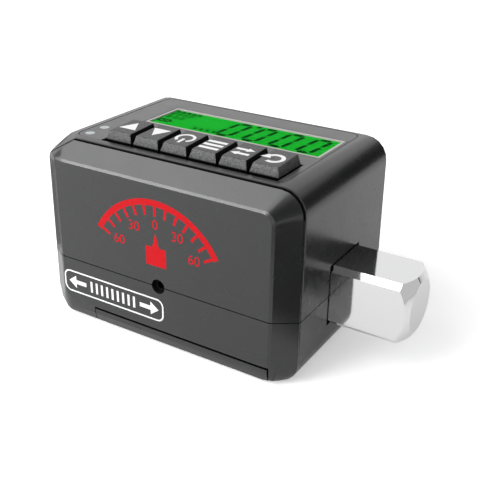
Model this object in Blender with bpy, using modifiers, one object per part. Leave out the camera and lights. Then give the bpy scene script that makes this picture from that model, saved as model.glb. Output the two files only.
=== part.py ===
"""Torque angle gauge: a square drive adapter that measures torque and angle, as an assembly of its parts.

X runs along the drive shaft towards the male square, -Y is the front face and +Z is up. The origin is the
middle of the flat bottom. Everything is in metres.
"""

import math

import bmesh
import bpy
from mathutils import Matrix, Vector

MM = 0.001

# Housing, outside
BODY_LENGTH = 89.0 * MM
BODY_DEPTH = 64.0 * MM
BODY_HEIGHT = 58.2 * MM
END_RADIUS = 7.5 * MM
BASE_RADIUS = 6.5 * MM
FACE_CORNER = 3.2 * MM
FACE_EDGE = 0.4 * MM
BAND_DEPTH = 4.6 * MM
BAND_TOP = 5.5 * MM
BAND_SIDE = 6.8 * MM
BAND_BOTTOM = 5.7 * MM
RIM_STEP = 0.5 * MM
GROOVE_WIDTH = 0.6 * MM
GROOVE_DEPTH = 1.0 * MM
BEAD_RADIUS = 0.7 * MM

# Housing, inside
WALL = 2.2 * MM
TOP_WALL = 2.6 * MM
FLOOR = 3.6 * MM
RIB = 2.0 * MM
CLEARANCE = 0.3 * MM
THIN_GAP = 0.1 * MM

# Drive shaft
SHAFT_HEIGHT = 20.5 * MM
SQUARE = 19.05 * MM
SQUARE_EDGE = 1.6 * MM
SQUARE_LENGTH = 24.0 * MM
NECK_STEP = 0.15 * MM
NECK_PROUD = 0.2 * MM
CROWN_RADIUS = 7.9 * MM
CROWN_DEPTH = 4.0 * MM
CROWN_SHARES = (0.35, 0.7, 1.0)
CROWN_CURVE = 1.35
SOCKET_SQUARE = 19.35 * MM
SOCKET_DEPTH = 24.5 * MM
SOCKET_LEAD = 1.0 * MM
HUB_DIAMETER = 33.0 * MM
HUB_LENGTH = 28.5 * MM
HUB_PROUD = 1.0 * MM
CORE_DIAMETER = 25.0 * MM
COLLAR_DIAMETER = 28.0 * MM
COLLAR_WIDTH = 3.0 * MM
COLLAR_SETBACK = 11.5 * MM
FLAT_LENGTH = 16.0 * MM
FLAT_DEPTH = 1.2 * MM
SEAL_WIDTH = 1.6 * MM
SEAL_DEPTH = 1.3 * MM

# Detent in the male square
BALL_DIAMETER = 6.0 * MM
BALL_PROUD = 1.4 * MM
BALL_SETBACK = 11.0 * MM
DETENT_DEPTH = 9.0 * MM
DETENT_WIRE = 0.6 * MM
DETENT_TURNS = 3

# Panel, display and keys
PANEL_LEFT_MARGIN = 7.7 * MM
PANEL_RIGHT_MARGIN = 8.6 * MM
PANEL_FRONT_MARGIN = 8.6 * MM
PANEL_BACK_MARGIN = 6.6 * MM
PANEL_RADIUS = 3.0 * MM
PANEL_SINK = 0.75 * MM
PANEL_THICKNESS = 0.6 * MM
PANEL_GAP = 0.25 * MM
LCD_WIDTH_SHARE = 0.332
LCD_BACK_SHARE = 0.193
LCD_LEFT_MARGIN = 10.5 * MM
LCD_RIGHT_MARGIN = 2.0 * MM
LCD_BORDER = 1.2 * MM
LCD_LEDGE = 2.2 * MM
LCD_GLASS = 2.0 * MM
LCD_STRIP = 1.6 * MM
LCD_FRAME_FLOOR = 0.8 * MM
LENS_THICKNESS = 0.25 * MM
KEY_COUNT = 6
KEY_GAP = 0.6 * MM
KEY_DEPTH_SHARE = 0.2613
KEY_HEIGHT = 2.65 * MM
KEY_RISE = 0.45 * MM
KEY_TRAVEL = 0.8 * MM
KEY_FRONT_MARGIN = 1.95 * MM
KEY_LEFT_MARGIN = 10.6 * MM
KEY_RIGHT_MARGIN = 2.5 * MM
KEY_FRONT_SLOPE = 0.9 * MM
KEY_SIDE_SLOPE = 0.7 * MM
KEY_BACK_SLOPE = 0.4 * MM
KEY_EDGE = 0.4 * MM
KEY_FLANGE = 1.0 * MM
KEY_FLANGE_LAP = 0.6 * MM
LIGHT_DIAMETER = 3.0 * MM
LIGHT_LEFT_MARGIN = 3.2 * MM
LIGHT_FRONT_MARGIN = 3.6 * MM
LIGHT_SPACING = 6.7 * MM
LIGHT_CHIP = 1.6 * MM

# Boards
BOARD_THICKNESS = 1.6 * MM
BOARD_DROP = 8.6 * MM
BOARD_MARGIN = 2.8 * MM
POST_DIAMETER = 4.8 * MM
POST_INSET = 2.5 * MM
BOARD_CORNER = 2.0 * MM
BOARD_SCREW = 2.0 * MM
BOARD_SCREW_HEAD = 0.9 * MM
MAT_THICKNESS = 0.9 * MM
PILL_DIAMETER = 4.0 * MM
PILL_THICKNESS = 0.35 * MM
PROCESSOR_SIZE = 12.0 * MM
AMPLIFIER_LENGTH = 8.0 * MM
AMPLIFIER_WIDTH = 6.0 * MM
SENSOR_SIZE = 5.0 * MM
CHIP_HEIGHT = 1.4 * MM
BUZZER_RADIUS = 6.0 * MM
BUZZER_HEIGHT = 5.5 * MM
BUZZER_SOUND_HOLE = 1.2 * MM
PLUG_LENGTH = 8.0 * MM
PLUG_WIDTH = 6.0 * MM
PLUG_HEIGHT = 4.5 * MM
PLUG_AHEAD = 5.0 * MM
CABLE_RADIUS = 0.9 * MM
CABLE_BULGE = 3.0 * MM
PAD_LENGTH = 2.4 * MM
PAD_WIDTH = 5.0 * MM
PAD_HEIGHT = 0.8 * MM
GAUGE_LENGTH = 6.0 * MM
GAUGE_WIDTH = 5.0 * MM
GAUGE_THICKNESS = 0.25 * MM

# Data jack on the parting line
JACK_HOLE = 4.7 * MM
JACK_BORE = 2.6 * MM
JACK_WIDTH = 8.0 * MM
JACK_HEIGHT = 6.6 * MM
JACK_LENGTH = 10.0 * MM
JACK_MOUTH_DEPTH = 1.4 * MM

# Batteries and their cover
BATTERY_DIAMETER = 10.5 * MM
BATTERY_LENGTH = 44.5 * MM
BATTERY_NUB = 1.0 * MM
BATTERY_NUB_RADIUS = 1.9 * MM
BATTERY_EDGE = 0.5 * MM
BATTERY_SETBACK = 9.3 * MM
BAY_GAP = 0.35 * MM
BAY_WALL = 1.2 * MM
CONTACT_PLATE = 0.4 * MM
CONTACT_SPRING = 3.0 * MM
CONTACT_WIRE = 0.6 * MM
CONTACT_BASE_RADIUS = 3.6 * MM
CONTACT_TIP_RADIUS = 1.8 * MM
CONTACT_TURNS = 2.5
COVER_LEFT_MARGIN = 19.3 * MM
COVER_RIGHT_MARGIN = 7.4 * MM
COVER_HEIGHT = 5.65 * MM
COVER_THICKNESS = 2.1 * MM
COVER_END_GAP = 0.5 * MM
BAY_LEFT_MARGIN = 4.0 * MM
HOOK_WIDTH = 8.0 * MM
HOOK_REACH = 2.2 * MM
HOOK_THICKNESS = 1.0 * MM
HOOK_ROOT = 1.6 * MM
HOOK_Y = 12.0 * MM

# Screws
BOSS_RADIUS = 4.2 * MM
BOSS_Y_MARGIN = 6.2 * MM
BOSS_LEFT_MARGIN = 6.7 * MM
BOSS_RIGHT_MARGIN = 11.0 * MM
BOSS_RISE = 14.0 * MM
SCREW_SHANK = 3.0 * MM
SCREW_HEAD = 5.2 * MM
SCREW_HEAD_HEIGHT = 2.0 * MM
SCREW_SINK = 3.0 * MM
SCREW_REACH = 10.0 * MM
COVER_SCREW_SHANK = 2.5 * MM
COVER_SCREW_HEAD = 4.6 * MM
COVER_SCREW_SINK = 1.4 * MM
COVER_SCREW_MARGIN = 2.9 * MM
COVER_BOSS_RISE = 2.6 * MM

# Smoothness
CORNER_STEPS = 5
BAND_STEPS = 4
BEAD_STEPS = 2
ROUND_STEPS = 32
SMALL_STEPS = 16
COIL_STEPS = 8

# Places worked out from the sizes above
LEFT = -BODY_LENGTH / 2
RIGHT = BODY_LENGTH / 2
FRONT = -BODY_DEPTH / 2
BACK = BODY_DEPTH / 2
TOP = BODY_HEIGHT
MARGIN = 5.0 * MM

HUB_START = LEFT - HUB_PROUD
HUB_END = HUB_START + HUB_LENGTH
COLLAR_END = RIGHT - COLLAR_SETBACK
COLLAR_START = COLLAR_END - COLLAR_WIDTH
SHAFT_END = RIGHT + SQUARE_LENGTH
FLAT_MIDDLE = (HUB_END + COLLAR_START) / 2

PANEL_LEFT = LEFT + PANEL_LEFT_MARGIN
PANEL_RIGHT = RIGHT - PANEL_RIGHT_MARGIN
PANEL_FRONT = FRONT + PANEL_FRONT_MARGIN
PANEL_BACK = BACK - PANEL_BACK_MARGIN
PANEL_FLOOR = TOP - PANEL_SINK
PANEL_TOP = PANEL_FLOOR + THIN_GAP + PANEL_THICKNESS
PANEL_DEPTH = PANEL_BACK - PANEL_FRONT
LCD_RIGHT = PANEL_RIGHT - LCD_RIGHT_MARGIN
LCD_LEFT = PANEL_LEFT + LCD_LEFT_MARGIN
LCD_BACK = PANEL_BACK - PANEL_DEPTH * LCD_BACK_SHARE
LCD_FRONT = LCD_BACK - PANEL_DEPTH * LCD_WIDTH_SHARE
KEYS_RIGHT = PANEL_RIGHT - KEY_RIGHT_MARGIN
KEYS_LEFT = PANEL_LEFT + KEY_LEFT_MARGIN
KEY_PITCH = (KEYS_RIGHT - KEYS_LEFT) / KEY_COUNT
KEY_DEPTH = PANEL_DEPTH * KEY_DEPTH_SHARE
KEYS_FRONT = PANEL_FRONT + KEY_FRONT_MARGIN
KEYS_BACK = KEYS_FRONT + KEY_DEPTH
UNDER_TOP = TOP - TOP_WALL

BOARD_TOP = TOP - BOARD_DROP
BOARD_BOTTOM = BOARD_TOP - BOARD_THICKNESS
BOARD_X = BODY_LENGTH / 2 - WALL - BOARD_MARGIN
BOARD_Y = BODY_DEPTH / 2 - WALL - BOARD_MARGIN - 1.0 * MM
POST_X = BOARD_X - POST_INSET
POST_Y = BOARD_Y - POST_INSET - 0.5 * MM

COVER_LEFT = LEFT + COVER_LEFT_MARGIN
COVER_RIGHT = RIGHT - COVER_RIGHT_MARGIN
BATTERY_Y = BACK - BATTERY_SETBACK
BAY_RADIUS = BATTERY_DIAMETER / 2 + BAY_GAP
BAY_LENGTH = BATTERY_LENGTH + CONTACT_SPRING + 2 * CONTACT_PLATE + 6 * THIN_GAP
BAY_LEFT = COVER_LEFT + BAY_LEFT_MARGIN
BAY_RIGHT = BAY_LEFT + BAY_LENGTH
BATTERY_Z = COVER_THICKNESS + BAY_GAP + BATTERY_DIAMETER / 2
BAY_TOP = BATTERY_Z + BAY_RADIUS
TRAY_TOP = BAY_TOP + BAY_WALL
BOSS_Y = BACK - BOSS_Y_MARGIN
BOSS_LEFT_X = LEFT + BOSS_LEFT_MARGIN
BOSS_RIGHT_X = RIGHT - BOSS_RIGHT_MARGIN
COVER_SCREW_X = COVER_RIGHT - COVER_SCREW_MARGIN
RECESS_FLOOR = COVER_THICKNESS + CLEARANCE
BALL_X = SHAFT_END - BALL_SETBACK

for old in list(bpy.data.objects):
    bpy.data.objects.remove(old, do_unlink=True)

PARTS = bpy.data.collections.new("torque_angle_gauge")
CUTTERS = bpy.data.collections.new("cutters")
bpy.context.scene.collection.children.link(PARTS)
bpy.context.scene.collection.children.link(CUTTERS)


# Materials


def material(name, colour, roughness, metallic=0.0, alpha=1.0):
    mat = bpy.data.materials.new(name)
    mat.use_nodes = True
    shader = mat.node_tree.nodes["Principled BSDF"]
    shader.inputs["Base Color"].default_value = (*colour, 1.0)
    shader.inputs["Roughness"].default_value = roughness
    shader.inputs["Metallic"].default_value = metallic
    shader.inputs["Alpha"].default_value = alpha
    return mat


HOUSING_GREY = material("housing_grey", (0.075, 0.077, 0.08), 0.45)
PANEL_GREY = material("panel_grey", (0.16, 0.16, 0.165), 0.5)
KEY_GREY = material("key_grey", (0.06, 0.06, 0.062), 0.65)
CHROME = material("chrome", (0.8, 0.8, 0.82), 0.08, 1.0)
STEEL = material("steel", (0.55, 0.56, 0.58), 0.3, 1.0)
PALE_GREY = material("pale_grey", (0.62, 0.63, 0.62), 0.5)
LENS_CLEAR = material("lens_clear", (0.9, 0.95, 0.9), 0.05, 0.0, 0.35)
LCD_GREEN = material("lcd_green", (0.02, 0.42, 0.035), 0.3)
WHITE_PLASTIC = material("white_plastic", (0.8, 0.8, 0.78), 0.5)
BLACK_RUBBER = material("black_rubber", (0.02, 0.02, 0.02), 0.8)
SILICONE = material("silicone", (0.3, 0.3, 0.32), 0.7)
BOARD_GREEN = material("board_green", (0.01, 0.12, 0.04), 0.4)
BLACK_PLASTIC = material("black_plastic", (0.015, 0.015, 0.016), 0.4)
GAUGE_FOIL = material("gauge_foil", (0.6, 0.35, 0.1), 0.4, 0.6)
BRASS = material("brass", (0.7, 0.5, 0.2), 0.3, 1.0)
BATTERY_SLEEVE = material("battery_sleeve", (0.03, 0.08, 0.25), 0.35)


# Building blocks


def add_object(name, mesh, group=PARTS, mat=None):
    obj = bpy.data.objects.new(name, mesh)
    group.objects.link(obj)
    if group is CUTTERS:
        obj.hide_render = True
        obj.display_type = "WIRE"
    if mat:
        mesh.materials.append(mat)
    return obj


def add_bmesh(name, bm, group=PARTS, mat=None, smooth=False):
    bmesh.ops.recalc_face_normals(bm, faces=bm.faces)
    mesh = bpy.data.meshes.new(name)
    bm.to_mesh(mesh)
    bm.free()
    if smooth:
        mesh.shade_smooth()
        mesh.set_sharp_from_angle(angle=math.radians(35))
    return add_object(name, mesh, group, mat)


def box(name, low, high, group=PARTS, mat=None, edge=0.0, edge_steps=3):
    """A block between two corners; edge rounds its four upright edges."""
    bm = bmesh.new()
    bmesh.ops.create_cube(bm, size=1.0)
    low, high = Vector(low), Vector(high)
    bmesh.ops.scale(bm, vec=high - low, verts=bm.verts)
    bmesh.ops.translate(bm, vec=(low + high) / 2, verts=bm.verts)
    if edge > 0:
        upright = [e for e in bm.edges if abs(e.verts[0].co.z - e.verts[1].co.z) > 1e-6]
        bmesh.ops.bevel(bm, geom=upright, offset=edge, segments=edge_steps, profile=0.5, affect="EDGES")
    return add_bmesh(name, bm, group, mat)


def rod_into(bm, start, end, radius, steps=SMALL_STEPS, end_radius=None):
    """Adds a cylinder or cone between two points to a bmesh."""
    start, end = Vector(start), Vector(end)
    along = end - start
    turn = along.to_track_quat("Z", "Y").to_matrix().to_4x4()
    bmesh.ops.create_cone(
        bm, cap_ends=True, segments=steps, radius1=radius,
        radius2=radius if end_radius is None else end_radius,
        depth=along.length, matrix=Matrix.Translation((start + end) / 2) @ turn,
    )


def box_into(bm, low, high):
    """Adds a block between two corners to a bmesh."""
    low, high = Vector(low), Vector(high)
    place = Matrix.Translation((low + high) / 2) @ Matrix.Diagonal((*(high - low), 1.0))
    bmesh.ops.create_cube(bm, size=1.0, matrix=place)


def rod(name, start, end, radius, group=PARTS, mat=None, steps=SMALL_STEPS):
    bm = bmesh.new()
    rod_into(bm, start, end, radius, steps)
    return add_bmesh(name, bm, group, mat, smooth=True)


def turned(name, profile, group=PARTS, mat=None, steps=ROUND_STEPS):
    """A profile of (radius, height) from its top down, turned about the object's own Z axis."""
    mesh = bpy.data.meshes.new(name)
    points = [(radius, 0.0, height) for radius, height in profile]
    mesh.from_pydata(points, [(i, i + 1) for i in range(len(points) - 1)], [])
    obj = add_object(name, mesh, group, mat)
    screw = obj.modifiers.new("turn", "SCREW")
    screw.steps = steps
    screw.render_steps = steps
    screw.use_merge_vertices = True
    screw.merge_threshold = 0.00001
    screw.use_smooth_shade = True
    return obj


def along_x(obj, x, y=0.0, z=SHAFT_HEIGHT, flip=False):
    """Lays a turned piece along X, its own Z towards +X, or towards -X where flip is set."""
    obj.location = (x, y, z)
    obj.rotation_euler = (0.0, math.radians(-90 if flip else 90), 0.0)
    return obj


def loft(name, sections, group=PARTS, mat=None, smooth=False):
    """Skins a list of equal rings of points and closes both ends."""
    bm = bmesh.new()
    rings = [[bm.verts.new(point) for point in ring] for ring in sections]
    count = len(rings[0])
    for near, far in zip(rings, rings[1:]):
        for i in range(count):
            j = (i + 1) % count
            bm.faces.new((near[i], far[i], far[j], near[j]))
    bm.faces.new(rings[0])
    bm.faces.new(list(reversed(rings[-1])))
    bmesh.ops.triangulate(bm, faces=bm.faces)
    return add_bmesh(name, bm, group, mat, smooth)


def boolean(target, tool, operation):
    modifier = target.modifiers.new(tool.name, "BOOLEAN")
    modifier.operation = operation
    modifier.solver = "EXACT"
    modifier.object = tool


def cut(target, *tools):
    for tool in tools:
        boolean(target, tool, "DIFFERENCE")


def join(target, *tools):
    for tool in tools:
        boolean(target, tool, "UNION")


def tube(name, points, radius, mat, group=PARTS):
    """A wire along points, as a curve with round section made into a welded mesh."""
    curve = bpy.data.curves.new(name, "CURVE")
    curve.dimensions = "3D"
    curve.bevel_depth = radius
    curve.bevel_resolution = 2
    curve.use_fill_caps = True
    spline = curve.splines.new("POLY")
    spline.points.add(len(points) - 1)
    for spot, point in zip(spline.points, points):
        spot.co = (*point, 1.0)
    guide = bpy.data.objects.new(name + "_path", curve)
    bpy.context.scene.collection.objects.link(guide)
    depsgraph = bpy.context.evaluated_depsgraph_get()
    mesh = bpy.data.meshes.new_from_object(guide.evaluated_get(depsgraph))
    place = guide.matrix_world.copy()
    bpy.data.objects.remove(guide, do_unlink=True)
    bm = bmesh.new()
    bm.from_mesh(mesh)
    bmesh.ops.remove_doubles(bm, verts=bm.verts, dist=0.000005)
    bmesh.ops.recalc_face_normals(bm, faces=bm.faces)
    bm.to_mesh(mesh)
    bm.free()
    mesh.name = name
    mesh.shade_smooth()
    obj = add_object(name, mesh, group, mat)
    obj.matrix_world = place
    return obj


def coil_points(start, along, length, start_radius, end_radius, turns):
    """Points of a coil from start in the direction along, with its radius changing evenly."""
    start, along = Vector(start), Vector(along)
    side = along.orthogonal().normalized()
    other = along.cross(side)
    count = int(turns * COIL_STEPS) + 1
    points = []
    for i in range(count):
        share = i / (count - 1)
        angle = 2 * math.pi * turns * share
        radius = start_radius + (end_radius - start_radius) * share
        spoke = side * math.cos(angle) + other * math.sin(angle)
        points.append(start + along * (length * share) + spoke * radius)
    return points


# Housing


def outline(y, half_x, low, high, low_radius, high_radius, sink=0.0):
    """A rounded rectangle at depth y; sink draws its two upper corners in along their normals."""
    points = []
    corners = (
        (half_x, low, low_radius, -90, 0.0),
        (half_x, high, high_radius, 0, sink),
        (-half_x, high, high_radius, 90, sink),
        (-half_x, low, low_radius, 180, 0.0),
    )
    for x, z, radius, start, inset in corners:
        centre_x = x - math.copysign(radius, x)
        centre_z = z + radius if z == low else z - radius
        for i in range(CORNER_STEPS + 1):
            angle = math.radians(start + 90 * i / CORNER_STEPS)
            reach = radius - inset
            points.append((centre_x + reach * math.cos(angle), y, centre_z + reach * math.sin(angle)))
    return points


def body_sections(offset=0.0, floor=None, rim=True):
    """Rings of the housing from front to back, drawn in by offset: face, band, groove, bead and wrap."""
    half_x = BODY_LENGTH / 2 - offset
    high = BODY_HEIGHT - offset
    front = FRONT + offset
    depth = BAND_DEPTH - offset * 0.5
    end_radius = END_RADIUS - offset
    base_radius = BASE_RADIUS - offset
    face_corner = max(FACE_CORNER - offset, 0.8 * MM)
    step = RIM_STEP if rim else 0.0
    rings = []
    for k in range(BAND_STEPS + 1):
        angle = math.radians(90 * k / BAND_STEPS)
        share = 1 - math.cos(angle)
        edge = FACE_EDGE if k == 0 else 0.0
        low = offset + (BAND_BOTTOM - offset) * (1 - math.sin(angle)) + edge
        rings.append(outline(
            front + depth * share,
            half_x - BAND_SIDE * (1 - share) - edge,
            low if floor is None else floor,
            high - BAND_TOP * (1 - share) - edge,
            face_corner + (base_radius - face_corner) * share,
            face_corner + (end_radius - face_corner) * share,
            step * share,
        ))
    if rim:
        ridge = front + depth
        wrap = (half_x, offset, high, base_radius, end_radius)
        rings.append(outline(ridge + GROOVE_WIDTH / 2, *wrap, RIM_STEP + GROOVE_DEPTH))
        for k in range(BEAD_STEPS + 1):
            angle = math.radians(90 * k / BEAD_STEPS)
            y = ridge + GROOVE_WIDTH + BEAD_RADIUS * (1 - math.cos(angle))
            rings.append(outline(y, *wrap, BEAD_RADIUS * (1 - math.sin(angle))))
    mirrored = [[(x, -y, z) for x, y, z in ring] for ring in reversed(rings)]
    return rings + mirrored


def housing_half(name, keep_low, keep_high):
    """The outer body between two heights."""
    shell = loft(name, body_sections(), PARTS, HOUSING_GREY, smooth=True)
    slab = box(name + "_slab", (LEFT - MARGIN, FRONT - MARGIN, keep_low),
               (RIGHT + MARGIN, BACK + MARGIN, keep_high), CUTTERS)
    boolean(shell, slab, "INTERSECT")
    return shell


def cavity():
    rings = body_sections(WALL, floor=FLOOR, rim=False)
    lid = UNDER_TOP
    rings = [[(x, y, min(z, lid)) for x, y, z in ring] for ring in rings]
    return loft("housing_cavity", rings, CUTTERS)


def shaft_passages():
    """The round hole for the hub, the square hole for the drive and the hole for the data jack."""
    bm = bmesh.new()
    rod_into(bm, (LEFT - MARGIN, 0, SHAFT_HEIGHT), (HUB_END + CLEARANCE, 0, SHAFT_HEIGHT),
             HUB_DIAMETER / 2 + CLEARANCE, ROUND_STEPS)
    hub_hole = add_bmesh("hub_hole", bm, CUTTERS)
    half = SQUARE / 2 + CLEARANCE
    square_hole = box("square_hole", (RIGHT - WALL - MARGIN, -half, SHAFT_HEIGHT - half),
                      (RIGHT + MARGIN, half, SHAFT_HEIGHT + half), CUTTERS)
    core_hole = rod("core_hole", (HUB_END - MARGIN, 0, SHAFT_HEIGHT),
                    (COLLAR_START + MARGIN, 0, SHAFT_HEIGHT), CORE_DIAMETER / 2 + CLEARANCE,
                    CUTTERS, steps=ROUND_STEPS)
    jack_hole = rod("jack_hole", (0, FRONT - MARGIN, SHAFT_HEIGHT),
                    (0, FRONT + WALL + MARGIN / 2, SHAFT_HEIGHT), JACK_HOLE / 2, CUTTERS)
    return hub_hole, square_hole, core_hole, jack_hole


def screw_places():
    return [(x, y) for x in (BOSS_LEFT_X, BOSS_RIGHT_X) for y in (-BOSS_Y, BOSS_Y)]


def rib_places():
    """The two saddle ribs stand beside the hub's shoulder and the collar."""
    return (HUB_END + CLEARANCE, COLLAR_START - CLEARANCE - RIB)


def upper_housing(inside, passages):
    bottom = SHAFT_HEIGHT + CLEARANCE / 2
    shell = housing_half("upper_housing", bottom, TOP + MARGIN)
    cut(shell, inside)

    ribs = bmesh.new()
    overlap = WALL / 2
    rib_top = SHAFT_HEIGHT + CORE_DIAMETER / 2 + 2 * RIB
    for x in rib_places():
        box_into(ribs, (x, FRONT + overlap, bottom), (x + RIB, BACK - overlap, rib_top))
    rib_blocks = add_bmesh("upper_ribs", ribs, CUTTERS)
    bosses = bmesh.new()
    for x, y in screw_places():
        rod_into(bosses, (x, y, bottom), (x, y, bottom + BOSS_RISE), BOSS_RADIUS)
    for x in (-POST_X, POST_X):
        for y in (-POST_Y, POST_Y):
            rod_into(bosses, (x, y, BOARD_TOP + CLEARANCE), (x, y, UNDER_TOP + TOP_WALL / 3),
                     POST_DIAMETER / 2)
    boss_blocks = add_bmesh("upper_bosses", bosses, CUTTERS)
    join(shell, rib_blocks, boss_blocks)
    cut(shell, *passages)

    recess = box("panel_recess", (PANEL_LEFT, PANEL_FRONT, PANEL_FLOOR),
                 (PANEL_RIGHT, PANEL_BACK, TOP + MARGIN), CUTTERS, edge=PANEL_RADIUS)
    windows = bmesh.new()
    box_into(windows, (KEYS_LEFT - CLEARANCE, PANEL_FRONT + THIN_GAP, UNDER_TOP - MARGIN / 2),
             (KEYS_RIGHT + CLEARANCE, KEYS_BACK + CLEARANCE, TOP + MARGIN))
    box_into(windows, (LCD_LEFT, LCD_FRONT, UNDER_TOP - MARGIN / 2), (LCD_RIGHT, LCD_BACK, TOP + MARGIN))
    for x, y in light_places():
        rod_into(windows, (x, y, UNDER_TOP - MARGIN / 2), (x, y, TOP + MARGIN), LIGHT_DIAMETER / 2 + THIN_GAP)
    window_cuts = add_bmesh("panel_windows", windows, CUTTERS)
    holes = bmesh.new()
    for x, y in screw_places():
        rod_into(holes, (x, y, bottom - MARGIN), (x, y, bottom + SCREW_REACH + CLEARANCE),
                 SCREW_SHANK / 2 + CLEARANCE)
    for x in (-POST_X, POST_X):
        for y in (-POST_Y, POST_Y):
            rod_into(holes, (x, y, BOARD_TOP - MARGIN), (x, y, UNDER_TOP - THIN_GAP),
                     BOARD_SCREW / 2 + CLEARANCE, steps=8)
    screw_cuts = add_bmesh("upper_screw_holes", holes, CUTTERS)
    cut(shell, recess, window_cuts, screw_cuts)
    return shell


def lower_housing(inside, passages):
    top = SHAFT_HEIGHT - CLEARANCE / 2
    shell = housing_half("lower_housing", -MARGIN, top)
    cut(shell, inside)

    trays = bmesh.new()
    overlap = WALL / 2
    for side in (-1, 1):
        inner = side * (BATTERY_Y - BAY_RADIUS - BAY_WALL)
        outer = side * (BACK - overlap)
        y_low, y_high = sorted((inner, outer))
        box_into(trays, (BAY_LEFT - BAY_WALL, y_low, FLOOR - overlap),
                 (BAY_RIGHT + BAY_WALL, y_high, TRAY_TOP))
    tray_blocks = add_bmesh("battery_trays", trays, CUTTERS)
    lips = bmesh.new()
    for side in (-1, 1):
        y_low, y_high = sorted((side * (BACK - WALL - BAY_WALL), side * (BACK - overlap)))
        box_into(lips, (COVER_LEFT - WALL, y_low, FLOOR - overlap),
                 (COVER_RIGHT + WALL, y_high, COVER_HEIGHT + WALL))
    lip_blocks = add_bmesh("cover_lips", lips, CUTTERS)
    ribs = bmesh.new()
    for x in rib_places():
        box_into(ribs, (x, FRONT + overlap, FLOOR - overlap), (x + RIB, BACK - overlap, top))
    rib_blocks = add_bmesh("lower_ribs", ribs, CUTTERS)
    bosses = bmesh.new()
    for x, y in screw_places():
        rod_into(bosses, (x, y, FLOOR - overlap), (x, y, top), BOSS_RADIUS)
    rod_into(bosses, (COVER_SCREW_X, 0, FLOOR - overlap), (COVER_SCREW_X, 0, FLOOR + COVER_BOSS_RISE),
             COVER_SCREW_HEAD / 2 + THIN_GAP)
    boss_blocks = add_bmesh("lower_bosses", bosses, CUTTERS)
    join(shell, tray_blocks, lip_blocks, rib_blocks, boss_blocks)

    recess = box("cover_recess", (COVER_LEFT - CLEARANCE, FRONT - MARGIN, -MARGIN),
                 (COVER_RIGHT + COVER_END_GAP, BACK + MARGIN, COVER_HEIGHT), CUTTERS)
    core = loft("cover_core", body_sections(COVER_THICKNESS + CLEARANCE, rim=False), CUTTERS)
    cut(recess, core)
    pockets = bmesh.new()
    for y in (-BATTERY_Y, BATTERY_Y):
        box_into(pockets, (BAY_LEFT, y - BAY_RADIUS, -MARGIN), (BAY_RIGHT, y + BAY_RADIUS, BAY_TOP))
    slot_half = HOOK_WIDTH / 2 + CLEARANCE
    slot_start = COVER_LEFT - HOOK_REACH - 2 * CLEARANCE
    for y in (-HOOK_Y, HOOK_Y):
        box_into(pockets, (slot_start, y - slot_half, RECESS_FLOOR),
                 (COVER_LEFT + 2 * HOOK_REACH, y + slot_half, FLOOR + HOOK_THICKNESS))
    pocket_cuts = add_bmesh("floor_pockets", pockets, CUTTERS)
    holes = bmesh.new()
    for x, y in screw_places():
        rod_into(holes, (x, y, -MARGIN), (x, y, top + MARGIN), SCREW_SHANK / 2 + CLEARANCE)
    rod_into(holes, (COVER_SCREW_X, 0, -MARGIN), (COVER_SCREW_X, 0, FLOOR + COVER_BOSS_RISE + MARGIN / 4),
             COVER_SCREW_SHANK / 2 + CLEARANCE)
    screw_cuts = add_bmesh("lower_screw_holes", holes, CUTTERS)
    seats = bmesh.new()
    for x, y in screw_places():
        rod_into(seats, (x, y, -MARGIN), (x, y, SCREW_SINK + SCREW_HEAD_HEIGHT + CLEARANCE),
                 SCREW_HEAD / 2 + CLEARANCE)
    seat_cuts = add_bmesh("lower_screw_seats", seats, CUTTERS)
    cut(shell, *passages, recess, pocket_cuts, screw_cuts, seat_cuts)
    return shell


def cap_screw(name, low, head_height, tip, head, shank, place):
    """A screw that points up: its head from low, its tip at the height tip."""
    profile = [(0, tip), (shank / 2, tip), (shank / 2, low + head_height), (head / 2, low + head_height),
               (head / 2, low), (0, low)]
    screw = turned(name, profile, PARTS, STEEL, steps=SMALL_STEPS)
    screw.location = (*place, 0.0)
    return screw


def housing_screws():
    for index, place in enumerate(screw_places()):
        cap_screw("housing_screw_%d" % (index + 1), SCREW_SINK, SCREW_HEAD_HEIGHT, SHAFT_HEIGHT + SCREW_REACH,
                  SCREW_HEAD, SCREW_SHANK, place)


# Drive shaft


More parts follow.
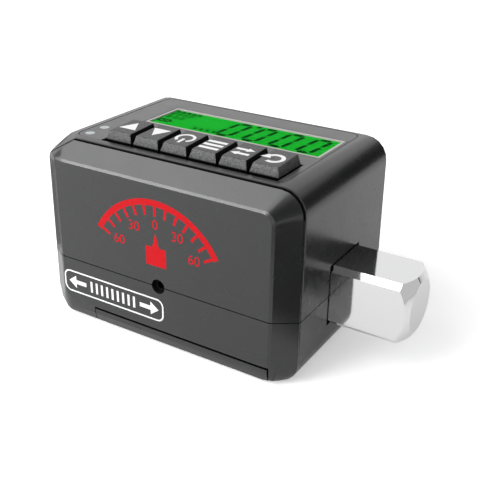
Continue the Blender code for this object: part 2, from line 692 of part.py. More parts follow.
def drive_shaft():
    half_hub = HUB_DIAMETER / 2
    edge = 0.8 * MM
    groove = half_hub - SEAL_DEPTH
    groove_start = LEFT + WALL / 2 - SEAL_WIDTH / 2
    profile = [
        (0, COLLAR_END), (COLLAR_DIAMETER / 2 - edge / 2, COLLAR_END),
        (COLLAR_DIAMETER / 2, COLLAR_END - edge / 2), (COLLAR_DIAMETER / 2, COLLAR_START),
        (CORE_DIAMETER / 2, COLLAR_START), (CORE_DIAMETER / 2, HUB_END),
        (half_hub - edge / 2, HUB_END), (half_hub, HUB_END - edge / 2),
        (half_hub, groove_start + SEAL_WIDTH), (groove, groove_start + SEAL_WIDTH),
        (groove, groove_start), (half_hub, groove_start),
        (half_hub, HUB_START + edge), (half_hub - edge, HUB_START), (0, HUB_START),
    ]
    shaft = along_x(turned("drive_shaft", profile, PARTS, CHROME), 0.0)

    half = SQUARE / 2
    neck_end = RIGHT + NECK_PROUD
    bar = square_bar("square_bar", neck_end, SHAFT_END, half)
    neck = square_bar("square_neck", COLLAR_END - MM, neck_end + MM, half - NECK_STEP)
    corner = math.hypot(half, half - SQUARE_EDGE) + MM
    crown = [(0, SHAFT_END), (CROWN_RADIUS, SHAFT_END)]
    rise = corner - CROWN_RADIUS
    for share in CROWN_SHARES:
        crown.append((CROWN_RADIUS + rise * share, SHAFT_END - CROWN_DEPTH * share ** CROWN_CURVE))
    crown += [(corner, COLLAR_END - 2 * MM), (0, COLLAR_END - 2 * MM)]
    crown_tool = along_x(turned("square_crown", crown, CUTTERS), 0.0)
    boolean(bar, crown_tool, "INTERSECT")
    join(shaft, neck, bar)

    hollow = SOCKET_SQUARE / 2
    lead = hollow + SOCKET_LEAD
    mouth = HUB_START - MM
    socket_rings = []
    sizes = ((mouth, lead + MM), (HUB_START + SOCKET_LEAD, hollow), (HUB_START + SOCKET_DEPTH, hollow))
    for x, size in sizes:
        corners = ((-size, -size), (size, -size), (size, size), (-size, size))
        socket_rings.append([(x, y, SHAFT_HEIGHT + z) for y, z in corners])
    socket = loft("socket_hollow", socket_rings, CUTTERS)
    groove_x = HUB_START + SQUARE_LENGTH - BALL_SETBACK
    detent_groove = rod("socket_detent", (groove_x, 0, SHAFT_HEIGHT),
                        (groove_x, hollow + BALL_PROUD, SHAFT_HEIGHT), BALL_DIAMETER / 2, CUTTERS)
    ball_bore = rod(
        "ball_bore", (BALL_X, half - DETENT_DEPTH, SHAFT_HEIGHT), (BALL_X, half + MARGIN, SHAFT_HEIGHT),
        BALL_DIAMETER / 2 + CLEARANCE / 2, CUTTERS)
    flat_tools = []
    reach = CORE_DIAMETER / 2
    for turn in range(4):
        tool = box("gauge_flat_%d" % (turn + 1), (-FLAT_LENGTH / 2, -reach, reach - FLAT_DEPTH),
                   (FLAT_LENGTH / 2, reach, reach + MARGIN), CUTTERS)
        flat_tools.append(round_the_shaft(tool, turn))
    cut(shaft, socket, detent_groove, ball_bore, *flat_tools)
    return shaft


def square_bar(name, start, end, half):
    """A length of square bar on the shaft's axis, with its four long edges bevelled."""
    bm = bmesh.new()
    box_into(bm, (start, -half, SHAFT_HEIGHT - half), (end, half, SHAFT_HEIGHT + half))
    bm.edges.ensure_lookup_table()
    long_edges = [e for e in bm.edges if abs(e.verts[0].co.x - e.verts[1].co.x) > MM / 2]
    bmesh.ops.bevel(bm, geom=long_edges, offset=SQUARE_EDGE, segments=1, affect="EDGES")
    return add_bmesh(name, bm, CUTTERS)


def round_the_shaft(obj, quarter_turns):
    """Puts a piece made about the middle of the flats at its quarter turn round the shaft."""
    obj.location = (FLAT_MIDDLE, 0.0, SHAFT_HEIGHT)
    obj.rotation_euler = (math.radians(90 * quarter_turns), 0.0, 0.0)
    return obj


def detent():
    """The sprung ball in the male square's rear face."""
    face = SQUARE / 2
    radius = BALL_DIAMETER / 2
    centre_y = face + BALL_PROUD - radius
    bm = bmesh.new()
    bmesh.ops.create_uvsphere(bm, u_segments=SMALL_STEPS, v_segments=10, radius=radius)
    ball = add_bmesh("detent_ball", bm, PARTS, STEEL, smooth=True)
    ball.location = (BALL_X, centre_y, SHAFT_HEIGHT)
    seat = face - DETENT_DEPTH
    start = seat + THIN_GAP + DETENT_WIRE / 2
    length = centre_y - radius - THIN_GAP - DETENT_WIRE / 2 - start
    coil = coil_points((BALL_X, start, SHAFT_HEIGHT), (0, 1, 0), length,
                       radius - DETENT_WIRE, radius - DETENT_WIRE * 2, DETENT_TURNS)
    tube("detent_spring", coil, DETENT_WIRE / 2, STEEL)


def shaft_seals():
    outer = HUB_DIAMETER / 2 + THIN_GAP * 2
    inner = HUB_DIAMETER / 2 - SEAL_DEPTH + THIN_GAP
    half = SEAL_WIDTH / 2 - THIN_GAP
    ring = [(outer, half), (outer, -half), (inner, -half), (inner, half), (outer, half)]
    along_x(turned("socket_seal", ring, PARTS, BLACK_RUBBER), LEFT + WALL / 2)

    hole = SQUARE / 2 + CLEARANCE
    wide = COLLAR_DIAMETER / 2
    end = RIGHT - WALL - CLEARANCE
    start = end - SEAL_WIDTH
    seal = box("drive_seal", (start, -wide, SHAFT_HEIGHT - wide), (end, wide, SHAFT_HEIGHT + wide),
               PARTS, BLACK_RUBBER)
    opening = box("drive_seal_hole", (start - MM, -hole, SHAFT_HEIGHT - hole),
                  (end + MM, hole, SHAFT_HEIGHT + hole), CUTTERS)
    cut(seal, opening)


def strain_gauges():
    """Four foil gauges, one on each flat, and the terminal pad beside the upper one."""
    half_length = GAUGE_LENGTH / 2
    half_width = GAUGE_WIDTH / 2
    seat = CORE_DIAMETER / 2 - FLAT_DEPTH + THIN_GAP
    for turn, side in enumerate(("top", "front", "bottom", "rear")):
        gauge = box("strain_gauge_" + side, (-half_length, -half_width, seat),
                    (half_length, half_width, seat + GAUGE_THICKNESS), PARTS, GAUGE_FOIL)
        round_the_shaft(gauge, turn)
    x = FLAT_MIDDLE + PLUG_AHEAD
    z = SHAFT_HEIGHT + seat
    box("gauge_terminal", (x - PAD_LENGTH / 2, -PAD_WIDTH / 2, z),
        (x + PAD_LENGTH / 2, PAD_WIDTH / 2, z + PAD_HEIGHT), PARTS, BOARD_GREEN)


# Display, keys and lights


def light_places():
    x = PANEL_LEFT + LIGHT_LEFT_MARGIN
    y = PANEL_FRONT + LIGHT_FRONT_MARGIN
    return [(x, y), (x, y + LIGHT_SPACING)]


def display_overlay():
    gap = THIN_GAP
    side = PANEL_GAP
    sheet = box("display_overlay", (PANEL_LEFT + side, PANEL_FRONT + side, PANEL_FLOOR + gap),
                (PANEL_RIGHT - side, PANEL_BACK - side, PANEL_TOP), PARTS, PANEL_GREY,
                edge=PANEL_RADIUS - side)
    windows = bmesh.new()
    low, high = PANEL_FLOOR - MM, TOP + MM
    box_into(windows, (KEYS_LEFT - CLEARANCE, PANEL_FRONT - MM, low),
             (KEYS_RIGHT + CLEARANCE, KEYS_BACK + CLEARANCE, high))
    border = LCD_BORDER + gap
    box_into(windows, (LCD_LEFT - border, LCD_FRONT - border, low),
             (PANEL_RIGHT + MM, LCD_BACK + border, high))
    for x, y in light_places():
        rod_into(windows, (x, y, low), (x, y, high), LIGHT_DIAMETER / 2 + gap)
    cut(sheet, add_bmesh("overlay_windows", windows, CUTTERS))


def display_module():
    gap = THIN_GAP
    bezel = box("lcd_bezel", (LCD_LEFT - LCD_BORDER, LCD_FRONT - LCD_BORDER, PANEL_FLOOR + gap),
                (PANEL_RIGHT - PANEL_GAP, LCD_BACK + LCD_BORDER, PANEL_TOP), PARTS, PALE_GREY)
    opening = box("lcd_bezel_hole", (LCD_LEFT, LCD_FRONT, PANEL_FLOOR - MM),
                  (LCD_RIGHT, LCD_BACK, TOP + MM), CUTTERS)
    cut(bezel, opening)
    lens_low = PANEL_TOP - LENS_THICKNESS
    box("lcd_window", (LCD_LEFT + gap, LCD_FRONT + gap, lens_low),
        (LCD_RIGHT - gap, LCD_BACK - gap, PANEL_TOP), PARTS, LENS_CLEAR)

    ledge_top = UNDER_TOP - CLEARANCE
    glass = box("lcd_glass", (LCD_LEFT - LCD_LEDGE, LCD_FRONT - LCD_LEDGE, ledge_top - LCD_GLASS),
                (LCD_RIGHT + LCD_LEDGE, LCD_BACK + LCD_LEDGE, ledge_top), PARTS, LCD_GREEN)
    front_glass = box("lcd_front_glass", (LCD_LEFT + gap, LCD_FRONT + gap, ledge_top - LCD_GLASS / 2),
                      (LCD_RIGHT - gap, LCD_BACK - gap, lens_low - gap), CUTTERS)
    join(glass, front_glass)

    glass_low = ledge_top - LCD_GLASS
    strip = LCD_STRIP
    guide_low = BOARD_TOP + THIN_GAP + LCD_FRAME_FLOOR + CLEARANCE
    aside = strip + 2 * CLEARANCE + BAY_WALL - LCD_LEDGE
    guide_y = (LCD_FRONT + aside, LCD_BACK - aside)
    box("backlight_guide", (LCD_LEFT, guide_y[0], guide_low), (LCD_RIGHT, guide_y[1], glass_low - gap),
        PARTS, WHITE_PLASTIC)
    rear_y = LCD_BACK + LCD_LEDGE - strip
    for name, y in (("lcd_strip_front", LCD_FRONT - LCD_LEDGE), ("lcd_strip_rear", rear_y)):
        box(name, (LCD_LEFT, y, BOARD_TOP + gap), (LCD_RIGHT, y + strip, glass_low - gap), PARTS, SILICONE)

    frame_wall = BAY_WALL
    outside = CLEARANCE + frame_wall
    frame = box("lcd_frame", (LCD_LEFT - LCD_LEDGE, guide_y[0] - outside, BOARD_TOP + gap),
                (LCD_RIGHT + LCD_LEDGE, guide_y[1] + outside, glass_low - gap), PARTS, WHITE_PLASTIC)
    frame_floor = BOARD_TOP + gap + LCD_FRAME_FLOOR
    frame_hole = box("lcd_frame_hole", (LCD_LEFT - CLEARANCE, guide_y[0] - CLEARANCE, frame_floor),
                     (LCD_RIGHT + CLEARANCE, guide_y[1] + CLEARANCE, TOP), CUTTERS)
    cut(frame, frame_hole)


KEY_NAMES = ("key_up", "key_down", "key_power", "key_mode", "key_units", "key_clear")


def key_shape():
    """One key about its own origin, which lies on the panel's surface in the middle of its place."""
    half_x = (KEY_PITCH - KEY_GAP) / 2
    half_y = KEY_DEPTH / 2
    skirt_low = UNDER_TOP - TOP - CLEARANCE * 2
    flange_low = skirt_low - KEY_FLANGE
    plunger = PILL_DIAMETER / 2
    plunger_low = BOARD_TOP + 2 * MAT_THICKNESS + 2 * CLEARANCE + KEY_TRAVEL - TOP

    def ring(z, left, right, front, back):
        return [(left, front, z), (right, front, z), (right, back, z), (left, back, z)]

    plain = (-half_x, half_x, -half_y, half_y)
    wide = (-half_x, half_x, -half_y - KEY_FRONT_MARGIN - KEY_FLANGE_LAP, half_y + KEY_FLANGE)
    stem = (-plunger, plunger, -plunger, plunger)
    back_height = KEY_HEIGHT + KEY_RISE
    front_x = half_x - KEY_SIDE_SLOPE
    back_x = half_x - KEY_SIDE_SLOPE * back_height / KEY_HEIGHT
    front_y = -half_y + KEY_FRONT_SLOPE
    back_y = half_y - KEY_BACK_SLOPE
    crown = [
        (-front_x, front_y, KEY_HEIGHT), (front_x, front_y, KEY_HEIGHT),
        (back_x, back_y, back_height), (-back_x, back_y, back_height),
    ]
    rings = [
        ring(plunger_low, *stem), ring(flange_low, *stem), ring(flange_low, *wide), ring(skirt_low, *wide),
        ring(skirt_low, *plain), ring(0.0, *plain), crown,
    ]
    bm = bmesh.new()
    rows = [[bm.verts.new(point) for point in row] for row in rings]
    for near, far in zip(rows, rows[1:]):
        for i in range(4):
            j = (i + 1) % 4
            bm.faces.new((near[i], near[j], far[j], far[i]))
    bm.faces.new(list(reversed(rows[0])))
    bm.faces.new(rows[-1])
    bm.normal_update()
    top = [e for e in bm.edges if max(v.co.z for v in e.verts) > KEY_HEIGHT / 2]
    bmesh.ops.bevel(bm, geom=top, offset=KEY_EDGE, segments=2, profile=0.5, affect="EDGES")
    bmesh.ops.recalc_face_normals(bm, faces=bm.faces)
    mesh = bpy.data.meshes.new("key")
    bm.to_mesh(mesh)
    bm.free()
    mesh.materials.append(KEY_GREY)
    return mesh


def key_centres():
    y = (KEYS_FRONT + KEYS_BACK) / 2
    return [(KEYS_LEFT + KEY_PITCH * (i + 0.5), y) for i in range(KEY_COUNT)]


def keys():
    shape = key_shape()
    for name, (x, y) in zip(KEY_NAMES, key_centres()):
        key = add_object(name, shape)
        key.location = (x, y, TOP)


def keypad():
    mat_low = BOARD_TOP + PILL_THICKNESS + 2 * THIN_GAP
    edge = 1.5 * MM
    bm = bmesh.new()
    box_into(bm, (KEYS_LEFT - edge, KEYS_FRONT - edge, mat_low),
             (KEYS_RIGHT + edge / 2, KEYS_BACK, mat_low + MAT_THICKNESS))
    sheet = add_bmesh("keypad_mat", bm, PARTS, SILICONE)
    pads = bmesh.new()
    for x, y in key_centres():
        rod_into(pads, (x, y, mat_low + MAT_THICKNESS / 2), (x, y, BOARD_TOP + 2 * MAT_THICKNESS + CLEARANCE),
                 PILL_DIAMETER / 2 + 0.8 * MM, end_radius=PILL_DIAMETER / 2)
    join(sheet, add_bmesh("keypad_pads", pads, CUTTERS))
    pills = bmesh.new()
    for x, y in key_centres():
        rod_into(pills, (x, y, BOARD_TOP + THIN_GAP), (x, y, mat_low + MAT_THICKNESS / 2),
                 PILL_DIAMETER / 2, steps=12)
    join(sheet, add_bmesh("keypad_pills", pills, CUTTERS))


def indicator_lights():
    chip = LIGHT_CHIP
    for side, (x, y) in zip(("front", "rear"), light_places()):
        rod("indicator_lens_" + side, (x, y, BOARD_TOP + chip + 2 * THIN_GAP), (x, y, PANEL_TOP),
            LIGHT_DIAMETER / 2, PARTS, PALE_GREY)
        box("indicator_led_" + side, (x - chip / 2, y - chip / 2, BOARD_TOP + THIN_GAP),
            (x + chip / 2, y + chip / 2, BOARD_TOP + THIN_GAP + chip), PARTS, WHITE_PLASTIC)


# Electronics


def main_board():
    board = box("main_board", (-BOARD_X, -BOARD_Y, BOARD_BOTTOM), (BOARD_X, BOARD_Y, BOARD_TOP), PARTS,
                BOARD_GREEN, edge=BOARD_CORNER)
    holes = bmesh.new()
    head = BOARD_SCREW_HEAD
    head_low = BOARD_BOTTOM - THIN_GAP - head
    tip = UNDER_TOP - 2 * MM
    places = [(x, y) for x in (-POST_X, POST_X) for y in (-POST_Y, POST_Y)]
    for index, (x, y) in enumerate(places):
        rod_into(holes, (x, y, BOARD_BOTTOM - MM), (x, y, BOARD_TOP + MM),
                 BOARD_SCREW / 2 + CLEARANCE, steps=8)
        cap_screw("board_screw_%d" % (index + 1), head_low, head, tip, 2 * BOARD_SCREW, BOARD_SCREW, (x, y))
    cut(board, add_bmesh("board_holes", holes, CUTTERS))


def board_parts():
    """Pieces soldered to the underside of the main board."""
    face = BOARD_BOTTOM - THIN_GAP
    chips = (
        ("processor_chip", BOARD_X * 0.46, -BOARD_Y * 0.46, PROCESSOR_SIZE, PROCESSOR_SIZE),
        ("amplifier_chip", -BOARD_X * 0.1, BOARD_Y * 0.4, AMPLIFIER_LENGTH, AMPLIFIER_WIDTH),
        ("angle_sensor", 0.0, -BOARD_Y * 0.46, SENSOR_SIZE, SENSOR_SIZE),
    )
    for name, x, y, length, width in chips:
        box(name, (x - length / 2, y - width / 2, face - CHIP_HEIGHT), (x + length / 2, y + width / 2, face),
            PARTS, BLACK_PLASTIC)
    edge = BUZZER_RADIUS / 10
    floor = -BUZZER_HEIGHT
    profile = [(0, 0), (BUZZER_RADIUS, 0), (BUZZER_RADIUS, floor + edge), (BUZZER_RADIUS - edge, floor),
               (BUZZER_SOUND_HOLE, floor), (BUZZER_SOUND_HOLE, floor / 2), (0, floor / 2)]
    buzzer = turned("buzzer", profile, PARTS, BLACK_PLASTIC, steps=20)
    buzzer.location = (-BOARD_X * 0.66, BOARD_Y * 0.46, face)
    plug_x = FLAT_MIDDLE + PLUG_AHEAD
    box("cable_connector", (plug_x - PLUG_LENGTH / 2, -PLUG_WIDTH / 2, face - PLUG_HEIGHT),
        (plug_x + PLUG_LENGTH / 2, PLUG_WIDTH / 2, face), PARTS, WHITE_PLASTIC)


def gauge_cable():
    """The short cable from the terminal pad on the shaft up to the connector."""
    x = FLAT_MIDDLE + PLUG_AHEAD
    low = SHAFT_HEIGHT + CORE_DIAMETER / 2 - FLAT_DEPTH + THIN_GAP + PAD_HEIGHT + CLEARANCE
    high = BOARD_BOTTOM - THIN_GAP - PLUG_HEIGHT - CLEARANCE
    count = 12
    points = [(x, 0.0, low)]
    for i in range(count + 1):
        share = i / count
        height = low + CABLE_RADIUS + (high - low - 2 * CABLE_RADIUS) * share
        points.append((x + CABLE_BULGE * math.sin(math.pi * share) ** 2, 0.0, height))
    points.append((x, 0.0, high))
    tube("gauge_cable", points, CABLE_RADIUS, BLACK_RUBBER)


def data_jack():
    mouth = FRONT + JACK_MOUTH_DEPTH
    start = FRONT + WALL + CLEARANCE
    half = JACK_WIDTH / 2
    jack = box("data_jack", (-half, start, SHAFT_HEIGHT - JACK_HEIGHT / 2),
               (half, start + JACK_LENGTH, SHAFT_HEIGHT + JACK_HEIGHT / 2), PARTS, BLACK_PLASTIC)
    nose = rod("jack_nose", (0, mouth, SHAFT_HEIGHT), (0, start + MM, SHAFT_HEIGHT),
               JACK_HOLE / 2 - CLEARANCE, CUTTERS)
    bore = rod("jack_bore", (0, mouth - MM, SHAFT_HEIGHT), (0, start + JACK_LENGTH * 0.8, SHAFT_HEIGHT),
               JACK_BORE / 2, CUTTERS, steps=12)
    join(jack, nose)
    cut(jack, bore)
    top = SHAFT_HEIGHT - JACK_HEIGHT / 2 - THIN_GAP
    box("jack_board", (-JACK_WIDTH, start, top - 1.0 * MM), (JACK_WIDTH, start + JACK_LENGTH, top),
        PARTS, BOARD_GREEN)


# Batteries and their cover


def battery(name, y, flip):
    radius = BATTERY_DIAMETER / 2
    edge = BATTERY_EDGE
    nub = BATTERY_NUB_RADIUS
    profile = [
        (0, BATTERY_LENGTH), (nub, BATTERY_LENGTH), (nub, BATTERY_LENGTH - BATTERY_NUB),
        (radius - edge, BATTERY_LENGTH - BATTERY_NUB), (radius, BATTERY_LENGTH - BATTERY_NUB - edge),
        (radius, edge), (radius - edge, 0), (0, 0),
    ]
    cell = turned(name, profile, PARTS, BATTERY_SLEEVE, steps=20)
    lead_in = CONTACT_PLATE + CONTACT_SPRING + 3 * THIN_GAP
    x = BAY_RIGHT - lead_in if flip else BAY_LEFT + lead_in
    return along_x(cell, x, y, BATTERY_Z, flip)


def battery_contacts():
    half = BAY_RADIUS - 1.0 * MM
    for side, y, flip in (("front", -BATTERY_Y, False), ("back", BATTERY_Y, True)):
        for end, x in (("left", BAY_LEFT + THIN_GAP), ("right", BAY_RIGHT - THIN_GAP - CONTACT_PLATE)):
            box("battery_plate_%s_%s" % (side, end), (x, y - half, BATTERY_Z - half),
                (x + CONTACT_PLATE, y + half, BATTERY_Z + half), PARTS, BRASS)
        reach = CONTACT_SPRING - CONTACT_WIRE
        offset = THIN_GAP + CONTACT_PLATE + THIN_GAP + CONTACT_WIRE / 2
        start = BAY_RIGHT - offset if flip else BAY_LEFT + offset
        direction = (-1, 0, 0) if flip else (1, 0, 0)
        coil = coil_points((start, y, BATTERY_Z), direction, reach, CONTACT_BASE_RADIUS,
                           CONTACT_TIP_RADIUS, CONTACT_TURNS)
        tube("battery_spring_" + side, coil, CONTACT_WIRE / 2, STEEL)


def battery_cover():
    shell = loft("battery_cover", body_sections(), PARTS, HOUSING_GREY, smooth=True)
    slab = box("cover_slab", (COVER_LEFT, FRONT - MARGIN, -MARGIN),
               (COVER_RIGHT, BACK + MARGIN, COVER_HEIGHT - CLEARANCE), CUTTERS)
    boolean(shell, slab, "INTERSECT")
    inner = loft("cover_inside", body_sections(COVER_THICKNESS, rim=False), CUTTERS)
    cut(shell, inner)
    hooks = bmesh.new()
    hook_low = RECESS_FLOOR + CLEARANCE
    hook_high = hook_low + HOOK_THICKNESS
    root_x = COVER_LEFT + HOOK_ROOT
    tip_x = COVER_LEFT - HOOK_REACH
    for y in (-HOOK_Y, HOOK_Y):
        y_low, y_high = y - HOOK_WIDTH / 2, y + HOOK_WIDTH / 2
        ring = [
            (COVER_LEFT, COVER_THICKNESS / 2), (root_x, COVER_THICKNESS / 2), (root_x, hook_high),
            (tip_x, hook_high), (tip_x, hook_low), (COVER_LEFT, hook_low),
        ]
        near = [hooks.verts.new((x, y_low, z)) for x, z in ring]
        face = hooks.faces.new(near)
        grown = bmesh.ops.extrude_face_region(hooks, geom=[face])
        moved = [v for v in grown["geom"] if isinstance(v, bmesh.types.BMVert)]
        bmesh.ops.translate(hooks, vec=(0, y_high - y_low, 0), verts=moved)
    join(shell, add_bmesh("cover_hooks", hooks, CUTTERS))
    holes = bmesh.new()
    rod_into(holes, (COVER_SCREW_X, 0, -MM), (COVER_SCREW_X, 0, COVER_THICKNESS + MM),
             COVER_SCREW_SHANK / 2 + CLEARANCE)
    seats = bmesh.new()
    rod_into(seats, (COVER_SCREW_X, 0, -MM), (COVER_SCREW_X, 0, COVER_SCREW_SINK + THIN_GAP),
             COVER_SCREW_HEAD / 2 + CLEARANCE)
    cut(shell, add_bmesh("cover_screw_hole", holes, CUTTERS), add_bmesh("cover_screw_seat", seats, CUTTERS))

    head_low = 0.2 * MM
    tip = FLOOR + COVER_BOSS_RISE - 0.4 * MM
    profile = [(0, tip), (COVER_SCREW_SHANK / 2, tip), (COVER_SCREW_SHANK / 2, COVER_SCREW_SINK),
               (COVER_SCREW_HEAD / 2, COVER_SCREW_SINK), (COVER_SCREW_HEAD / 2, head_low), (0, head_low)]
    screw = turned("cover_screw", profile, PARTS, STEEL, steps=SMALL_STEPS)
    screw.location = (COVER_SCREW_X, 0, 0)


INSIDE = cavity()
PASSAGES = shaft_passages()
upper_housing(INSIDE, PASSAGES)
lower_housing(INSIDE, PASSAGES)
housing_screws()
drive_shaft()
detent()
shaft_seals()
strain_gauges()
display_overlay()
display_module()
keys()
keypad()
indicator_lights()
main_board()
board_parts()
gauge_cable()
data_jack()
battery("battery_front", -BATTERY_Y, False)
battery("battery_back", BATTERY_Y, True)
battery_contacts()
battery_cover()
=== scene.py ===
"""The looks of a torque angle gauge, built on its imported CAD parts.

X runs along the drive shaft towards the male square, -Y is the front face and +Z is up, in metres.
"""

import math

import bmesh
import bpy
from mathutils import Matrix, Vector


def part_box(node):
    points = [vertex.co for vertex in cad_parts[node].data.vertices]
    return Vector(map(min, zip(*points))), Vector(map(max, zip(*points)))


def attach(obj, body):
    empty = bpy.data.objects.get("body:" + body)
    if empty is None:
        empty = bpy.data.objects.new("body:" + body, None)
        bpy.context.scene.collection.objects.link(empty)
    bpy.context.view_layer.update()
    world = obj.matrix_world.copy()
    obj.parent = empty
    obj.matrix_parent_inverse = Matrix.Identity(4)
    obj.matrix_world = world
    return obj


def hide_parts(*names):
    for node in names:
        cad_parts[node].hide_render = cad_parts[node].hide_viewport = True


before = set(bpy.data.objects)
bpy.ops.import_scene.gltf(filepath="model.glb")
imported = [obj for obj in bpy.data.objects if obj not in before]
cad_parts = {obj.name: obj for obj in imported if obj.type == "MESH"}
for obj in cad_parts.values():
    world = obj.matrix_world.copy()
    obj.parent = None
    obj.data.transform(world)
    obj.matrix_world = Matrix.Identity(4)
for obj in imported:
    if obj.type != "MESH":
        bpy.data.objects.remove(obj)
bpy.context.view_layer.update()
scene = bpy.context.scene
MM = 0.001

# Camera
# It stands near the object, to the right of its front face and above it, and leans very slightly. Its
# distance is short, so the near corner looks larger than the far one.
VIEW_TURN = math.radians(31.38)
VIEW_RISE = math.radians(25.56)
VIEW_LEAN = math.radians(0.93)
VIEW_DISTANCE = 209.99 * MM
VIEW_TARGET = Vector((29.03, -33.93, 44.16)) * MM
PICTURE_WIDTH = 480
FOCAL_LENGTH_PIXELS = 802.56
SENSOR_WIDTH = 36.0
CLIP_START = 10 * MM

view_back = Vector((
    math.sin(VIEW_TURN) * math.cos(VIEW_RISE),
    -math.cos(VIEW_TURN) * math.cos(VIEW_RISE),
    math.sin(VIEW_RISE),
))
level_right = Vector((math.cos(VIEW_TURN), math.sin(VIEW_TURN), 0.0))
level_up = view_back.cross(level_right)
view_right = level_right * math.cos(VIEW_LEAN) + level_up * math.sin(VIEW_LEAN)
view_up = level_up * math.cos(VIEW_LEAN) - level_right * math.sin(VIEW_LEAN)
camera_data = bpy.data.cameras.new("camera")
camera_data.sensor_width = SENSOR_WIDTH
camera_data.lens = FOCAL_LENGTH_PIXELS / PICTURE_WIDTH * SENSOR_WIDTH
camera_data.clip_start = CLIP_START
camera = bpy.data.objects.new("camera", camera_data)
scene.collection.objects.link(camera)
camera_turn = Matrix((view_right, view_up, view_back)).transposed().to_4x4()
camera.matrix_world = Matrix.Translation(VIEW_TARGET + view_back * VIEW_DISTANCE) @ camera_turn
scene.camera = camera
scene.view_settings.view_transform = "Standard"

# Floor, lamps and cards
# A white sweep with a large soft box high on the left, a broad weak one behind for the top, and a low strip
# light that draws the front edge. Cards that are seen only in reflections give the glossy moulding its bands,
# and a bright one high on the right adds a little sheen.
FLOOR_SIZE = 6.0
FLOOR_COLOUR = (0.86, 0.86, 0.86)
FLOOR_LIFT_SEEN = 0.42
FLOOR_LIFT_MIRRORED = 0.25
FILL_LEVEL = 0.62
CARD_BLACK = 0.01
CARD_GREY = 0.3
CARD_BRIGHT = 1.6
LIGHT_CENTRE = Vector((0.0, 0.0, 0.03))


def stage_material(name):
    """An empty node material, returned with its tree."""
    mat = bpy.data.materials.new(name)
    mat.use_nodes = True
    mat.node_tree.nodes.clear()
    return mat, mat.node_tree


def stage_plane(name, centre, across, along, mat):
    """A flat rectangle about a centre, from its two half sides."""
    centre, across, along = Vector(centre), Vector(across), Vector(along)
    corners = [
        centre - across - along,
        centre + across - along,
        centre + across + along,
        centre - across + along,
    ]
    mesh = bpy.data.meshes.new(name)
    mesh.from_pydata(corners, [], [(0, 1, 2, 3)])
    mesh.materials.append(mat)
    plane = bpy.data.objects.new(name, mesh)
    scene.collection.objects.link(plane)
    return plane


def floor_material():
    mat, tree = stage_material("floor_white")
    output = tree.nodes.new("ShaderNodeOutputMaterial")
    paper = tree.nodes.new("ShaderNodeBsdfDiffuse")
    paper.inputs["Color"].default_value = (*FLOOR_COLOUR, 1.0)
    glow = tree.nodes.new("ShaderNodeEmission")
    path = tree.nodes.new("ShaderNodeLightPath")
    seen = tree.nodes.new("ShaderNodeMath")
    seen.operation = "MULTIPLY"
    seen.inputs[1].default_value = FLOOR_LIFT_SEEN
    lift = tree.nodes.new("ShaderNodeMath")
    lift.operation = "MULTIPLY_ADD"
    lift.inputs[1].default_value = FLOOR_LIFT_MIRRORED
    both = tree.nodes.new("ShaderNodeAddShader")
    tree.links.new(path.outputs["Is Camera Ray"], seen.inputs[0])
    tree.links.new(path.outputs["Is Glossy Ray"], lift.inputs[0])
    tree.links.new(seen.outputs[0], lift.inputs[2])
    tree.links.new(lift.outputs[0], glow.inputs["Strength"])
    tree.links.new(paper.outputs[0], both.inputs[0])
    tree.links.new(glow.outputs[0], both.inputs[1])
    tree.links.new(both.outputs[0], output.inputs["Surface"])
    return mat


def soft_box(name, direction, distance, width, height, radiance):
    """A rectangular lamp that faces the object from a direction, as bright as radiance where it is seen."""
    data = bpy.data.lights.new(name, "AREA")
    data.shape = "RECTANGLE"
    data.size = width
    data.size_y = height
    data.energy = radiance * math.pi * width * height
    lamp = bpy.data.objects.new(name, data)
    scene.collection.objects.link(lamp)
    direction = Vector(direction).normalized()
    turn = direction.to_track_quat("Z", "Y").to_matrix().to_4x4()
    lamp.matrix_world = Matrix.Translation(LIGHT_CENTRE + direction * distance) @ turn
    lamp.visible_camera = False


def card(name, centre, across, along, brightness=CARD_BLACK):
    """A card that only glossy rays see, black unless it is given a brightness."""
    mat, tree = stage_material(name + "_face")
    output = tree.nodes.new("ShaderNodeOutputMaterial")
    face = tree.nodes.new("ShaderNodeEmission")
    face.inputs["Strength"].default_value = brightness
    tree.links.new(face.outputs[0], output.inputs["Surface"])
    plane = stage_plane(name, centre, across, along, mat)
    plane.visible_camera = False
    plane.visible_diffuse = False
    plane.visible_transmission = False
    plane.visible_shadow = False
    return plane


stage_plane("floor", (0, 0, 0), (FLOOR_SIZE / 2, 0, 0), (0, FLOOR_SIZE / 2, 0), floor_material())
soft_box("key_box", (-0.47, -0.56, 0.68), distance=0.9, width=0.8, height=0.7, radiance=4.5)
soft_box("back_box", (-0.47, 0.77, 0.43), distance=1.1, width=1.3, height=0.8, radiance=0.42)
soft_box("edge_strip", (-0.47, -0.84, 0.25), distance=0.9, width=0.6, height=0.16, radiance=16.0)
card("back_card", (0.30, 0.52, 0.19), (-0.16, 0.09, 0.0), (0.0, 0.0, 0.17))
card("floor_card", (0.12, -0.115, 0.001), (0.06, 0.0, 0.0), (0.0, 0.075, 0.0))
card("near_card", (0.30, -0.44, 0.26), (0.14, 0.09, 0.0), (-0.05, 0.08, 0.20))
card("rear_card", (-0.27, 0.30, 0.001), (0.25, 0.0, 0.0), (0.0, 0.22, 0.0))
card("left_card", (-0.14, 0.02, 0.001), (0.06, 0.0, 0.0), (0.0, 0.05, 0.0), CARD_GREY)
card("tip_card", (0.55, -0.27, 0.58), (0.08, 0.15, 0.0), (0.12, -0.06, -0.14), CARD_BRIGHT)

